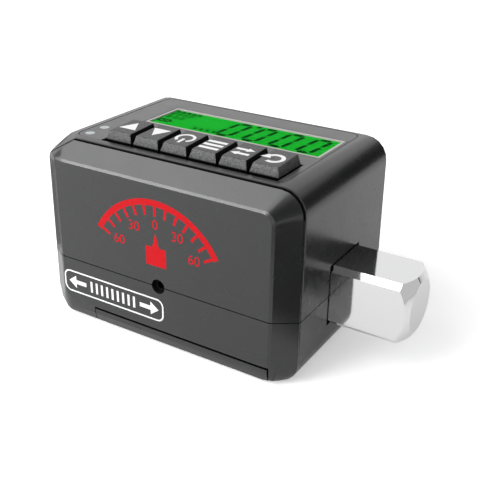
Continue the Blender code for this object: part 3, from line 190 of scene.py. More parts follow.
world = bpy.data.worlds.new("studio")
scene.world = world
world.use_nodes = True
sky = world.node_tree
sky.nodes.clear()
sky_output = sky.nodes.new("ShaderNodeOutputWorld")
fill_light = sky.nodes.new("ShaderNodeBackground")
fill_light.inputs["Strength"].default_value = FILL_LEVEL
white_ground = sky.nodes.new("ShaderNodeBackground")
ray_kind = sky.nodes.new("ShaderNodeLightPath")
seen_or_mirrored = sky.nodes.new("ShaderNodeMath")
seen_or_mirrored.operation = "MAXIMUM"
seen_at_all = sky.nodes.new("ShaderNodeMath")
seen_at_all.operation = "MAXIMUM"
sky_mix = sky.nodes.new("ShaderNodeMixShader")
sky.links.new(ray_kind.outputs["Is Camera Ray"], seen_or_mirrored.inputs[0])
sky.links.new(ray_kind.outputs["Is Glossy Ray"], seen_or_mirrored.inputs[1])
sky.links.new(seen_or_mirrored.outputs[0], seen_at_all.inputs[0])
sky.links.new(ray_kind.outputs["Is Transmission Ray"], seen_at_all.inputs[1])
sky.links.new(seen_at_all.outputs[0], sky_mix.inputs["Fac"])
sky.links.new(fill_light.outputs[0], sky_mix.inputs[1])
sky.links.new(white_ground.outputs[0], sky_mix.inputs[2])
sky.links.new(sky_mix.outputs[0], sky_output.inputs["Surface"])

# Housing halves and battery cover
# Two shells and a cover of injection moulded black plastic with a fine satin grain. The halves meet at the
# shaft's height and are held by four screws from below, and the cover hooks in at its left end. The front
# left top corner is cut to a slanting flat. The groove behind the band and the cover's top edge in its gap
# are matt black painted shade.
HOUSING_COLOUR = (0.0122, 0.0125, 0.0128)
HOUSING_ROUGHNESS = 0.27
HOUSING_GRAIN = 0.18 * MM
HOUSING_GRAIN_DEPTH = 0.003 * MM
WELD = 0.001 * MM
FILLET_ANGLE = math.radians(33)
FACE_EDGE_DEPTH = 0.5 * MM
# Bounds of the groove faces that get black painted shade.
GROOVE_SHADE_FRONT = 27.42 * MM
GROOVE_SHADE_BACK = 26.62 * MM
GROOVE_SHADE_LOWEST = 50.0 * MM
GROOVE_RANGE = (-27.45 * MM, -26.05 * MM)
GROOVE_SHIFT = 0.6 * MM
SKIN_DEPTH = 1.3 * MM
FACE_CORNER = 3.2 * MM
SHARP_CORNER = 0.8 * MM
BAND_TOP = 5.5 * MM
BAND_SIDE = 6.8 * MM
FACE_EDGE = 0.9 * MM
BAND_END = 0.95
EDGE_DEPTH = 4.6 * MM
EDGE_HEIGHT = 5.7 * MM
COVER_TOP = 5.3 * MM
COVER_DROP = 0.4 * MM
END_RADIUS = 7.5 * MM
FACET_FACING = Vector((-0.4693, -0.3673, 0.803))
FACET_DISTANCE = 72.32 * MM
FACET_WALL = 1.3 * MM
INNER_RADIUS = 5.6 * MM
INNER_START = -26.5 * MM
EDGE_FULLNESS = 4
FLAT_ANGLE = math.radians(0.3)
NORMAL_UP = 0.9
NORMAL_ALONG_Y = 0.999
# Black for painted shade in the groove, the cover's gap and on the keys, and the data jack's own black.
PAINTED_SHADE_AND_JACK_BLACK = (0.002, 0.002, 0.002)
FINE_DETAIL = 3.0
BROAD_DETAIL = 2.0
BROAD_SHARE = 0.02
BUMP_STRENGTH = 0.6


def grained_finish(name, colour, roughness, grain, depth, spread=0.12, gloss_spread=0.05, metallic=0.0):
    """A Principled material whose tone, gloss and bump vary with a fine noise in object coordinates."""
    mat = bpy.data.materials.new(name)
    mat.use_nodes = True
    tree = mat.node_tree
    shader = tree.nodes["Principled BSDF"]
    shader.inputs["Metallic"].default_value = metallic
    place = tree.nodes.new("ShaderNodeTexCoord")
    fine = tree.nodes.new("ShaderNodeTexNoise")
    fine.inputs["Scale"].default_value = 1.0 / grain
    fine.inputs["Detail"].default_value = FINE_DETAIL
    broad = tree.nodes.new("ShaderNodeTexNoise")
    broad.inputs["Scale"].default_value = BROAD_SHARE / grain
    broad.inputs["Detail"].default_value = BROAD_DETAIL
    tone = tree.nodes.new("ShaderNodeMix")
    tone.data_type = "RGBA"
    tone.inputs["A"].default_value = (*[c * (1 - spread) for c in colour], 1.0)
    tone.inputs["B"].default_value = (*[min(c * (1 + spread), 1.0) for c in colour], 1.0)
    gloss = tree.nodes.new("ShaderNodeMapRange")
    gloss.inputs["To Min"].default_value = roughness - gloss_spread
    gloss.inputs["To Max"].default_value = roughness + gloss_spread
    bump = tree.nodes.new("ShaderNodeBump")
    bump.inputs["Strength"].default_value = BUMP_STRENGTH
    bump.inputs["Distance"].default_value = depth
    tree.links.new(place.outputs["Object"], fine.inputs["Vector"])
    tree.links.new(place.outputs["Object"], broad.inputs["Vector"])
    tree.links.new(fine.outputs["Fac"], tone.inputs["Factor"])
    tree.links.new(tone.outputs["Result"], shader.inputs["Base Color"])
    tree.links.new(broad.outputs["Fac"], gloss.inputs["Value"])
    tree.links.new(gloss.outputs["Result"], shader.inputs["Roughness"])
    tree.links.new(fine.outputs["Fac"], bump.inputs["Height"])
    tree.links.new(bump.outputs["Normal"], shader.inputs["Normal"])
    return mat


def tune(mat, setting, value):
    """Sets one value of a material's Principled shader."""
    mat.node_tree.nodes["Principled BSDF"].inputs[setting].default_value = value


def dress_nodes(mat, *nodes):
    """Gives CAD nodes that keep their shape a better material."""
    for node in nodes:
        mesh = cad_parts[node].data
        mesh.materials.clear()
        mesh.materials.append(mat)


def merged_mesh(node):
    """A CAD node's triangles, merged into flat faces."""
    bm = bmesh.new()
    bm.from_mesh(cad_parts[node].data)
    bmesh.ops.remove_doubles(bm, verts=bm.verts, dist=WELD)
    bmesh.ops.dissolve_limit(bm, angle_limit=FLAT_ANGLE, verts=bm.verts, edges=bm.edges)
    return bm


def cut_corner(bm):
    """Cuts the left front top corner to a slanting flat, and draws the wall in behind it."""
    low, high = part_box("upper_housing")
    centre = Vector((low.x + END_RADIUS, 0.0, high.z - END_RADIUS))
    across = Vector((FACET_FACING.x, 0.0, FACET_FACING.z))
    on_plane = FACET_FACING * FACET_DISTANCE
    for sink in (0.0, FACET_WALL):
        geometry = bm.verts[:] + bm.edges[:] + bm.faces[:]
        plane = on_plane - FACET_FACING * sink
        bmesh.ops.bisect_plane(bm, geom=geometry, plane_co=plane, plane_no=FACET_FACING, dist=WELD)
    for vert in bm.verts:
        reach = Vector((vert.co.x - centre.x, 0.0, vert.co.z - centre.z))
        inner = vert.co.y > INNER_START and reach.length < INNER_RADIUS
        limit = FACET_DISTANCE - (FACET_WALL if inner else 0.0)
        excess = FACET_FACING.dot(vert.co) - limit
        if excess > 0 and across.dot(reach) > 0:
            vert.co -= reach * (excess / across.dot(reach))


def shift_groove(bm):
    """Moves the front groove and its bead a little towards the panel, where the photograph has them."""
    low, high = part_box("upper_housing")
    for vert in bm.verts:
        beyond = max(abs(vert.co.x) - high.x + END_RADIUS, 0.0)
        above = max(vert.co.z - high.z + END_RADIUS, 0.0)
        reach = Vector((beyond, above))
        if GROOVE_RANGE[0] < vert.co.y < GROOVE_RANGE[1] and reach.length > END_RADIUS - SKIN_DEPTH:
            vert.co.y += GROOVE_SHIFT * reach.y / reach.length


def sharpen_corner(bm):
    """Draws the left top corner of the face and band out to a point, which the slanting flat then meets."""
    low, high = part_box("upper_housing")
    for vert in bm.verts:
        share = (vert.co.y - low.y) / EDGE_DEPTH
        radius = FACE_CORNER + (END_RADIUS - FACE_CORNER) * share
        tight = SHARP_CORNER + (END_RADIUS - SHARP_CORNER) * share
        side = low.x + BAND_SIDE * (1 - share)
        top = high.z - BAND_TOP * (1 - share)
        from_centre = Vector((side + radius, top - radius)) - Vector((vert.co.x, vert.co.z))
        on_skin = from_centre.length > radius - FACE_EDGE
        in_corner = vert.co.x < side + radius and vert.co.z > top - radius
        if share < BAND_END and on_skin and in_corner:
            vert.co.x = side + (vert.co.x - side) * tight / radius
            vert.co.z = top - (top - vert.co.z) * tight / radius


def fill_lower_edge(bm):
    """Makes the rounding under the front and back faces fuller, as the photograph shows it."""
    face_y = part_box("lower_housing")[1].y
    for vert in bm.verts:
        inward = (abs(vert.co.y) - face_y + EDGE_DEPTH) / EDGE_DEPTH
        down = (EDGE_HEIGHT - vert.co.z) / EDGE_HEIGHT
        if inward > 0 and down > 0:
            fuller = (inward ** EDGE_FULLNESS + down ** EDGE_FULLNESS) ** (1 / EDGE_FULLNESS)
            swell = math.hypot(inward, down) / fuller
            vert.co.y = math.copysign(face_y + EDGE_DEPTH * (inward * swell - 1), vert.co.y)
            vert.co.z = EDGE_HEIGHT * (1 - down * swell)


def finished_copy(bm, node, name, body, mats, crease=FILLET_ANGLE):
    """Makes the object that stands for a CAD node, smooth over its fillets."""
    mesh = bpy.data.meshes.new(name)
    bm.to_mesh(mesh)
    bm.free()
    for layer in [a for a in mesh.attributes if a.name == "custom_normal"]:
        mesh.attributes.remove(layer)
    for mat in mats:
        mesh.materials.append(mat)
    mesh.shade_smooth()
    mesh.set_sharp_from_angle(angle=crease)
    piece = bpy.data.objects.new(name, mesh)
    scene.collection.objects.link(piece)
    even = piece.modifiers.new("even_shading", "WEIGHTED_NORMAL")
    even.keep_sharp = True
    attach(piece, body)
    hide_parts(node)
    return piece


housing_plastic = grained_finish("housing_plastic", HOUSING_COLOUR, HOUSING_ROUGHNESS, HOUSING_GRAIN,
                                 HOUSING_GRAIN_DEPTH)
# Painted shade: a matt, nearly unreflecting black for the groove behind the band and the cover's gap.
groove_painted_shade = grained_finish("groove_painted_shade", PAINTED_SHADE_AND_JACK_BLACK, 0.9, HOUSING_GRAIN, HOUSING_GRAIN_DEPTH)
tune(groove_painted_shade, "Specular IOR Level", 0.05)


def moulded_shell(node, name, body):
    """A moulded case part with a crisp edge round its face, and black painted shade in its groove and gap."""
    bm = merged_mesh(node)
    face_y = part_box("upper_housing")[1].y
    # Faces in the groove, and the cover's top face in its gap, take the black painted shade.
    for face in bm.faces:
        centre = face.calc_center_median()
        in_groove_shade = GROOVE_SHADE_BACK < abs(centre.y) < GROOVE_SHADE_FRONT and centre.z > GROOVE_SHADE_LOWEST
        in_gap_shade = name == "battery_lid" and centre.z > COVER_TOP and face.normal.z > NORMAL_UP
        if (in_groove_shade and abs(face.normal.y) < NORMAL_ALONG_Y) or in_gap_shade:
            face.material_index = 1
    if name == "upper_shell":
        sharpen_corner(bm)
        cut_corner(bm)
        shift_groove(bm)
    else:
        if name == "battery_lid":
            for vert in bm.verts:
                if vert.co.z > COVER_TOP and abs(vert.co.y) > face_y - EDGE_DEPTH:
                    vert.co.z -= COVER_DROP
        fill_lower_edge(bm)
    mesh = finished_copy(bm, node, name, body, (housing_plastic, groove_painted_shade)).data
    sharp = mesh.attributes.get("sharp_edge") or mesh.attributes.new("sharp_edge", "BOOLEAN", "EDGE")
    for edge in mesh.edges:
        ends = [mesh.vertices[i].co for i in edge.vertices]
        if all(abs(co.y) > face_y - FACE_EDGE_DEPTH for co in ends) and abs(ends[0].y - ends[1].y) < WELD:
            sharp.data[edge.index].value = True


moulded_shell("upper_housing", "upper_shell", "housing")
moulded_shell("lower_housing", "lower_shell", "housing")
moulded_shell("battery_cover", "battery_lid", "cover")

# Drive shaft, detent ball and spring
# One forging of tool steel, machined, polished and chromium plated, with a sprung steel ball in the rear
# flat of its square.
CHROME_COLOUR = (0.61, 0.61, 0.615)
CHROME_ROUGHNESS = 0.07
CROWN_CREASE = math.radians(13)
STEEL_COLOUR = (0.5, 0.5, 0.51)
chrome_plate = grained_finish("chrome_plate", CHROME_COLOUR, CHROME_ROUGHNESS, 0.5 * MM, 0.0008 * MM,
                              spread=0.01, gloss_spread=0.03, metallic=1.0)
spring_steel = grained_finish("spring_steel", STEEL_COLOUR, 0.25, 0.2 * MM, 0.001 * MM, 0.06, 0.06, 1.0)
finished_copy(merged_mesh("drive_shaft"), "drive_shaft", "plated_shaft", "housing", (chrome_plate,),
              CROWN_CREASE)
dress_nodes(spring_steel, "detent_ball", "detent_spring", "battery_spring_front", "battery_spring_back")

# Seals
# A ring in the hub's groove and a square gasket behind the drive's opening, both of nitrile rubber.
seal_rubber = grained_finish("seal_rubber", (0.012, 0.012, 0.012), 0.75, 0.15 * MM, 0.008 * MM)
dress_nodes(seal_rubber, "socket_seal", "drive_seal", "gauge_cable")

# Panel film
# A printed film of matt grey polycarbonate, stuck flush into the top of the housing, with windows for the
# keys, the display and the two lights.
FILM_COLOUR = (0.042, 0.042, 0.043)
film_grey = grained_finish("film_grey", FILM_COLOUR, 0.33, 0.12 * MM, 0.002 * MM)
dress_nodes(film_grey, "display_overlay")

# Display
# A liquid crystal cell with a green backlight, in a pale printed border and under a thin clear window. Its
# lit face shows four zeros on the right and small marks on the left, turned to be read from the back.
LCD_GREEN = (0.006, 0.38, 0.02)
LCD_DARK = (0.001, 0.042, 0.004)
WINDOW_HAZE = 0.015
INK_SUNK = 0.01 * MM
SEGMENT_RAISED = 0.04 * MM
DIGIT_WIDTH = 5.9 * MM
DIGIT_HEIGHT = 14.3 * MM
DIGIT_LEAN = 1.7 * MM
DIGIT_PITCH = 9.3 * MM
DIGIT_COUNT = 4
UPRIGHT_STROKE = 1.35 * MM
LEVEL_STROKE = 1.7 * MM
DIGIT_LEFT = -3.3 * MM
DIGIT_LOW = 1.1 * MM
SEGMENT_GAP = 0.35 * MM
POINT_SIZE = 1.5 * MM
BORDER_SHOWN = 0.85 * MM


def raised_shape(bm, outline, origin, across, up, raised, sunk=INK_SUNK):
    """Adds a flat shape drawn on a face: its outline in the face's own two directions, raised a little."""
    out = across.cross(up)
    low = [bm.verts.new(origin + across * u + up * v - out * sunk) for u, v in outline]
    high = [bm.verts.new(origin + across * u + up * v + out * raised) for u, v in outline]
    count = len(outline)
    bm.faces.new(list(reversed(low)))
    bm.faces.new(high)
    for i in range(count):
        j = (i + 1) % count
        bm.faces.new((low[i], low[j], high[j], high[i]))


def printed_piece(name, bm, body, mat):
    """Makes an object of drawn shapes, facing outwards, that rides on a body."""
    bmesh.ops.recalc_face_normals(bm, faces=bm.faces)
    mesh = bpy.data.meshes.new(name)
    bm.to_mesh(mesh)
    bm.free()
    mesh.materials.append(mat)
    piece = bpy.data.objects.new(name, mesh)
    scene.collection.objects.link(piece)
    if body:
        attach(piece, body)
    return piece


def bar_outline(start, end, width):
    """A bar with pointed ends, as the segments of a display have."""
    start, end = Vector(start), Vector(end)
    along = (end - start).normalized()
    side = Vector((-along.y, along.x)) * (width / 2)
    tip = along * (width / 2)
    corners = (start, start + tip - side, end - tip - side, end, end - tip + side, start + tip + side)
    return [(corner.x + corner.y * DIGIT_LEAN / DIGIT_HEIGHT, corner.y) for corner in corners]


def repeat_tree():
    """Geometry Nodes that repeat a piece in even steps and turns."""
    tree = bpy.data.node_groups.new("repeat_piece", "GeometryNodeTree")
    face = tree.interface
    face.new_socket("Piece", in_out="INPUT", socket_type="NodeSocketGeometry")
    face.new_socket("Count", in_out="INPUT", socket_type="NodeSocketInt")
    face.new_socket("Step", in_out="INPUT", socket_type="NodeSocketVector")
    face.new_socket("First Turn", in_out="INPUT", socket_type="NodeSocketVector")
    face.new_socket("Turn", in_out="INPUT", socket_type="NodeSocketVector")
    face.new_socket("Origin", in_out="INPUT", socket_type="NodeSocketVector")
    face.new_socket("Finish", in_out="INPUT", socket_type="NodeSocketMaterial")
    face.new_socket("Row", in_out="OUTPUT", socket_type="NodeSocketGeometry")
    given = tree.nodes.new("NodeGroupInput")
    line = tree.nodes.new("GeometryNodeMeshLine")
    index = tree.nodes.new("GeometryNodeInputIndex")
    turned = tree.nodes.new("ShaderNodeVectorMath")
    turned.operation = "SCALE"
    total = tree.nodes.new("ShaderNodeVectorMath")
    total.operation = "ADD"
    copies = tree.nodes.new("GeometryNodeInstanceOnPoints")
    solid = tree.nodes.new("GeometryNodeRealizeInstances")
    painted = tree.nodes.new("GeometryNodeSetMaterial")
    result = tree.nodes.new("NodeGroupOutput")
    link = tree.links.new
    link(given.outputs["Count"], line.inputs["Count"])
    link(given.outputs["Origin"], line.inputs["Start Location"])
    link(given.outputs["Step"], line.inputs["Offset"])
    link(given.outputs["Turn"], turned.inputs[0])
    link(index.outputs[0], turned.inputs["Scale"])
    link(turned.outputs[0], total.inputs[0])
    link(given.outputs["First Turn"], total.inputs[1])
    link(line.outputs["Mesh"], copies.inputs["Points"])
    link(given.outputs["Piece"], copies.inputs["Instance"])
    link(total.outputs[0], copies.inputs["Rotation"])
    link(copies.outputs["Instances"], solid.inputs["Geometry"])
    link(solid.outputs["Geometry"], painted.inputs["Geometry"])
    link(given.outputs["Finish"], painted.inputs["Material"])
    link(painted.outputs["Geometry"], result.inputs["Row"])
    return tree


row_of_pieces = repeat_tree()


def repeat_piece(name, piece, body, mat, count, origin, step=(0, 0, 0), first_turn=(0, 0, 0), turn=(0, 0, 0)):
    """Runs the repeating nodes on one piece and keeps the result as a plain mesh."""
    run = piece.modifiers.new("row", "NODES")
    run.node_group = row_of_pieces
    values = {
        "Count": count,
        "Origin": origin,
        "Step": step,
        "First Turn": first_turn,
        "Turn": turn,
        "Finish": mat,
    }
    for item in row_of_pieces.interface.items_tree:
        if item.item_type == "SOCKET" and item.in_out == "INPUT" and item.name in values:
            run[item.identifier] = values[item.name]
    mesh = bpy.data.meshes.new_from_object(piece.evaluated_get(bpy.context.evaluated_depsgraph_get()))
    bpy.data.objects.remove(piece, do_unlink=True)
    mesh.name = name
    row = bpy.data.objects.new(name, mesh)
    scene.collection.objects.link(row)
    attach(row, body)


def thin_border(mat):
    """Keeps the pale ink to a thin line round the window, with the grey of the film outside it."""
    tree = mat.node_tree
    low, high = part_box("lcd_window")
    place = tree.nodes.new("ShaderNodeSeparateXYZ")
    tree.links.new(tree.nodes["Texture Coordinate"].outputs["Object"], place.inputs[0])
    beyond = []
    for axis, middle, half in (("X", (low.x + high.x) / 2, (high.x - low.x) / 2),
                               ("Y", (low.y + high.y) / 2, (high.y - low.y) / 2)):
        shifted = tree.nodes.new("ShaderNodeMath")
        shifted.operation = "SUBTRACT"
        shifted.inputs[1].default_value = middle
        size = tree.nodes.new("ShaderNodeMath")
        size.operation = "ABSOLUTE"
        outside = tree.nodes.new("ShaderNodeMath")
        outside.operation = "GREATER_THAN"
        outside.inputs[1].default_value = half + BORDER_SHOWN
        tree.links.new(place.outputs[axis], shifted.inputs[0])
        tree.links.new(shifted.outputs[0], size.inputs[0])
        tree.links.new(size.outputs[0], outside.inputs[0])
        beyond.append(outside)
    either = tree.nodes.new("ShaderNodeMath")
    either.operation = "MAXIMUM"
    tree.links.new(beyond[0].outputs[0], either.inputs[0])
    tree.links.new(beyond[1].outputs[0], either.inputs[1])
    colour = tree.nodes["Principled BSDF"].inputs["Base Color"]
    pale = colour.links[0].from_socket
    choice = tree.nodes.new("ShaderNodeMix")
    choice.data_type = "RGBA"
    choice.inputs["B"].default_value = (*FILM_COLOUR, 1.0)
    tree.links.new(either.outputs[0], choice.inputs["Factor"])
    tree.links.new(pale, choice.inputs["A"])
    tree.links.new(choice.outputs["Result"], colour)
    return mat


lcd_glow = grained_finish("lcd_glow", LCD_GREEN, 0.35, 0.4 * MM, 0.0, 0.03)
lcd_ink = grained_finish("lcd_ink", LCD_DARK, 0.5, 0.4 * MM, 0.0, 0.1)
for cell_material in (lcd_glow, lcd_ink):
    tune(cell_material, "Specular IOR Level", 0.0)
border_ink = grained_finish("border_ink", (0.37, 0.36, 0.345), 0.4, 0.1 * MM, 0.001 * MM, 0.03)
clear_window = grained_finish("clear_window", (0.02, 0.05, 0.025), 0.08, 0.5 * MM, 0.0, 0.1, 0.02)
tune(clear_window, "Alpha", WINDOW_HAZE)
dress_nodes(lcd_glow, "lcd_glass")
dress_nodes(thin_border(border_ink), "lcd_bezel")
dress_nodes(clear_window, "lcd_window")

WORLD_X = Vector((1, 0, 0))
WORLD_Y = Vector((0, 1, 0))
WORLD_Z = Vector((0, 0, 1))
lcd_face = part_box("lcd_glass")[1].z

digit = bmesh.new()
left_line, right_line = UPRIGHT_STROKE / 2, DIGIT_WIDTH - UPRIGHT_STROKE / 2
low_line, mid_line, high_line = LEVEL_STROKE / 2, DIGIT_HEIGHT / 2, DIGIT_HEIGHT - LEVEL_STROKE / 2
for y in (low_line, high_line):
    start, end = (left_line + SEGMENT_GAP, y), (right_line - SEGMENT_GAP, y)
    raised_shape(digit, bar_outline(start, end, LEVEL_STROKE), Vector(), WORLD_X, WORLD_Y, SEGMENT_RAISED)
for x in (left_line, right_line):
    for y_from, y_to in ((low_line, mid_line), (mid_line, high_line)):
        start, end = (x, y_from + SEGMENT_GAP), (x, y_to - SEGMENT_GAP)
        upright = bar_outline(start, end, UPRIGHT_STROKE)
        raised_shape(digit, upright, Vector(), WORLD_X, WORLD_Y, SEGMENT_RAISED)
first_digit = (DIGIT_LEFT, DIGIT_LOW, lcd_face)
repeat_piece("display_zeros", printed_piece("zero", digit, None, lcd_ink), "housing", lcd_ink, DIGIT_COUNT,
             first_digit, step=(DIGIT_PITCH, 0, 0))
point = bmesh.new()
point_left = (DIGIT_WIDTH + DIGIT_PITCH - POINT_SIZE) / 2 + DIGIT_LEAN
point_outline = [(0, 0), (POINT_SIZE, 0), (POINT_SIZE, POINT_SIZE), (0, POINT_SIZE)]
point_place = Vector((DIGIT_LEFT + point_left, DIGIT_LOW + DIGIT_HEIGHT - POINT_SIZE, lcd_face))
raised_shape(point, point_outline, point_place, WORLD_X, WORLD_Y, SEGMENT_RAISED)
printed_piece("display_point", point, "housing", lcd_ink)

# Each row gives its name, how many marks it has, its left and low place, its step and the bars of one mark.
MARK_ROWS = (
    ("unit_marks_back", 5, -25.6, 13.6, 2.1, ((0, 0, 1.6, 0.8), (0, 0, 0.8, 1.9))),
    ("unit_marks_middle", 4, -25.6, 10.6, 2.3, ((0, 0, 0.7, 2.0), (0.7, 1.2, 1.5, 2.0))),
    ("unit_marks_front", 3, -25.6, 7.6, 2.6, ((0, 0, 1.8, 0.7), (0, 1.3, 1.8, 2.0))),
    ("battery_mark", 1, -25.8, 3.0, 0.0,
     ((0, 0, 4.4, 0.7), (0, 2.2, 4.4, 2.9), (0, 0.7, 0.6, 2.2), (3.8, 0.7, 4.4, 2.2), (4.4, 0.9, 5.1, 2.0),
      (1.0, 1.1, 3.3, 1.8))),
    ("mode_marks", 4, -11.2, 2.2, 2.3, ((0, 0, 1.4, 0.8), (0, 1.2, 0.7, 2.0))),
)
for name, count, x, y, step, bars in MARK_ROWS:
    small = bmesh.new()
    for left, low, right, high in bars:
        corners = ((left, low), (right, low), (right, high), (left, high))
        bar = [(u * MM, v * MM) for u, v in corners]
        raised_shape(small, bar, Vector(), WORLD_X, WORLD_Y, SEGMENT_RAISED)
    repeat_piece(name, printed_piece(name + "_one", small, None, lcd_ink), "housing", lcd_ink, count,
                 (x * MM, y * MM, lcd_face), step=(step * MM, 0, 0))

# Keys and their marks
# Six moulded caps of speckled grey thermoplastic rubber, each with a white printed symbol that is read from
# the back of the gauge. Painted shade makes each cap black low down, where it goes into the panel, and on
# the side that faces its neighbour, all but the last cap's.
KEY_COLOUR = (0.06, 0.06, 0.061)
KEY_SPECK_SIZE = 0.42 * MM
KEY_SPECK_CONTRAST = 4.0
KEY_SHINE = 0.3
KEY_SHADE_HEIGHT = 0.35 * MM
KEY_CREASE = math.radians(40)
KEY_SIDE_SLANT = 0.5
MARK_RAISED = 0.02 * MM
KEY_TOP_FRONT = Vector((0.0, -20.55, 60.85)) * MM
KEY_TOP_BACK = Vector((0.0, -9.1, 61.3)) * MM
KEYS = ("up", "down", "power", "mode", "units", "clear")


def speckled_rubber():
    """Speckled rubber with painted shade: black and unreflecting low down, where the key enters the panel."""
    mat = grained_finish("speckled_key", KEY_COLOUR, 0.5, KEY_SPECK_SIZE, 0.03 * MM, 0.5, 0.05)
    tree = mat.node_tree
    shader = tree.nodes["Principled BSDF"]
    speckle = shader.inputs["Base Color"].links[0].from_node
    fine = speckle.inputs["Factor"].links[0].from_node
    harder = tree.nodes.new("ShaderNodeMapRange")
    harder.inputs["From Min"].default_value = 0.5 - 0.5 / KEY_SPECK_CONTRAST
    harder.inputs["From Max"].default_value = 0.5 + 0.5 / KEY_SPECK_CONTRAST
    tree.links.new(fine.outputs["Fac"], harder.inputs["Value"])
    tree.links.new(harder.outputs["Result"], speckle.inputs["Factor"])
    place = tree.nodes["Texture Coordinate"]
    # Painted shade: the colour goes to black and the reflection to nothing at the panel's height.
    height = tree.nodes.new("ShaderNodeSeparateXYZ")
    depth = tree.nodes.new("ShaderNodeMapRange")
    depth.inputs["From Min"].default_value = panel_top
    depth.inputs["From Max"].default_value = panel_top + KEY_SHADE_HEIGHT
    shade = tree.nodes.new("ShaderNodeMix")
    shade.data_type = "RGBA"
    shade.inputs["A"].default_value = (*PAINTED_SHADE_AND_JACK_BLACK, 1.0)
    tree.links.new(place.outputs["Object"], height.inputs["Vector"])
    tree.links.new(height.outputs["Z"], depth.inputs["Value"])
    tree.links.new(depth.outputs["Result"], shade.inputs["Factor"])
    tree.links.new(speckle.outputs["Result"], shade.inputs["B"])
    tree.links.new(shade.outputs["Result"], shader.inputs["Base Color"])
    shine = tree.nodes.new("ShaderNodeMath")
    shine.operation = "MULTIPLY"
    shine.inputs[1].default_value = KEY_SHINE
    tree.links.new(depth.outputs["Result"], shine.inputs[0])
    tree.links.new(shine.outputs[0], shader.inputs["Specular IOR Level"])
    return mat


panel_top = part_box("display_overlay")[1].z
key_rubber = speckled_rubber()
# Black for the painted shade on the keys' sides, and the data jack's own colour.
jack_black_and_painted_shade = grained_finish("jack_black_and_painted_shade", PAINTED_SHADE_AND_JACK_BLACK, 0.8, 0.2 * MM, 0.005 * MM, 0.1)
tune(jack_black_and_painted_shade, "Specular IOR Level", 0.1)
# Painted shade: each cap's side that faces its neighbour is black, all but the last cap's.
for key in KEYS:
    cap = merged_mesh("key_" + key)
    for side in cap.faces:
        if side.normal.x > KEY_SIDE_SLANT and key != KEYS[-1]:
            side.material_index = 1
    finished_copy(cap, "key_" + key, "cap_" + key, key, (key_rubber, jack_black_and_painted_shade), KEY_CREASE)
mat_black = grained_finish("mat_black", (0.004, 0.004, 0.004), 0.8, 0.2 * MM, 0.005 * MM, 0.1)
dress_nodes(mat_black, "keypad_mat")
mark_white = grained_finish("mark_white", (0.72, 0.72, 0.72), 0.5, 0.1 * MM, 0.001 * MM, 0.03)


def arc_outline(radius, width, start, end, steps=16):
    """The outline of a stretch of ring, between two angles in degrees."""
    outer, inner = [], []
    for i in range(steps + 1):
        angle = math.radians(start + (end - start) * i / steps)
        outer.append(((radius + width / 2) * math.cos(angle), (radius + width / 2) * math.sin(angle)))
        inner.append(((radius - width / 2) * math.cos(angle), (radius - width / 2) * math.sin(angle)))
    return outer + list(reversed(inner))


def rectangle(x_low, y_low, x_high, y_high):
    return [(x_low, y_low), (x_high, y_low), (x_high, y_high), (x_low, y_high)]


def in_mm(outline):
    return [(x * MM, y * MM) for x, y in outline]


def moved(outline, x, y):
    return [(u + x, v + y) for u, v in outline]


swap_arrow = [(-2.9, 0.45), (0.7, 0.45), (0.7, -0.2), (3.1, 1.05), (0.7, 2.3), (0.7, 1.65), (-2.9, 1.65)]
KEY_MARKS = {
    "up": ((-21.3, -14.5), [[(-3.0, 2.6), (0.0, -3.0), (3.0, 2.6)]]),
    "down": ((-11.5, -14.9), [[(-3.0, -2.6), (3.0, -2.6), (0.0, 3.0)]]),
    "power": ((-1.6, -14.8), [arc_outline(2.7, 0.95, 125, 415), rectangle(-0.45, 0.6, 0.45, 3.9)]),
    "mode": ((8.4, -15.4), [rectangle(-3.2, y, 3.2, y + 1.35) for y in (-3.2, -0.7, 1.8)]),
    "units": ((18.2, -15.4), [moved(swap_arrow, 0, 0.5), [(-u, -v - 0.5) for u, v in swap_arrow]]),
    "clear": ((28.3, -15.4), [arc_outline(2.5, 1.2, 60, 330), [(1.1, 0.2), (4.3, 0.2), (2.7, -2.4)]]),
}
key_slope = (KEY_TOP_BACK - KEY_TOP_FRONT).normalized()
for key, (centre, shapes) in KEY_MARKS.items():
    marks = bmesh.new()
    share = (centre[1] * MM - KEY_TOP_FRONT.y) / (KEY_TOP_BACK.y - KEY_TOP_FRONT.y)
    origin = KEY_TOP_FRONT.lerp(KEY_TOP_BACK, share) + WORLD_X * (centre[0] * MM)
    for shape in shapes:
        raised_shape(marks, in_mm(shape), origin, -WORLD_X, -key_slope, MARK_RAISED)
    printed_piece("mark_" + key, marks, key, mark_white)

# Indicator lights
# Two short pipes of milky polycarbonate over the board's diodes, unlit in the photograph.
lens_milky = grained_finish("lens_milky", (0.40, 0.40, 0.40), 0.3, 0.3 * MM, 0.0, 0.04)
tune(lens_milky, "Subsurface Weight", 0.2)
dress_nodes(lens_milky, "indicator_lens_front", "indicator_lens_rear")

# Red dial on the front
# A pad print in red on the front face: a scale of angle with its ticks, plain numbers and a pointer over a
# square drive. It is a generic drawing of what the gauge measures.
RED = (0.42, 0.004, 0.008)
PRINT_RAISED = 0.015 * MM
DIAL_CENTRE_X = -0.45
DIAL_CENTRE_Z = 23.5
DIAL_RADIUS = 23.4
DIAL_LINE = 1.9
DIAL_HALF_ANGLE = 62
DIAL_STEPS = 40
DIAL_NUMBERS = (-60, -30, 0, 30, 60)
TICK_INNER, TICK_OUTER = 19.4, 22.4
TICK_WIDTH = 0.85
TICK_COUNT = 13
TICK_SPREAD = math.radians(10.0)
NUMBER_RADIUS = 15.4
NUMBER_HEIGHT = 3.0 * MM
FIGURE_SHARE = 0.7
POINTER = [(-3.6, 3.6), (3.6, 3.6), (3.6, 9.6), (1.2, 9.6), (0.0, 14.2), (-1.2, 9.6), (-3.6, 9.6)]


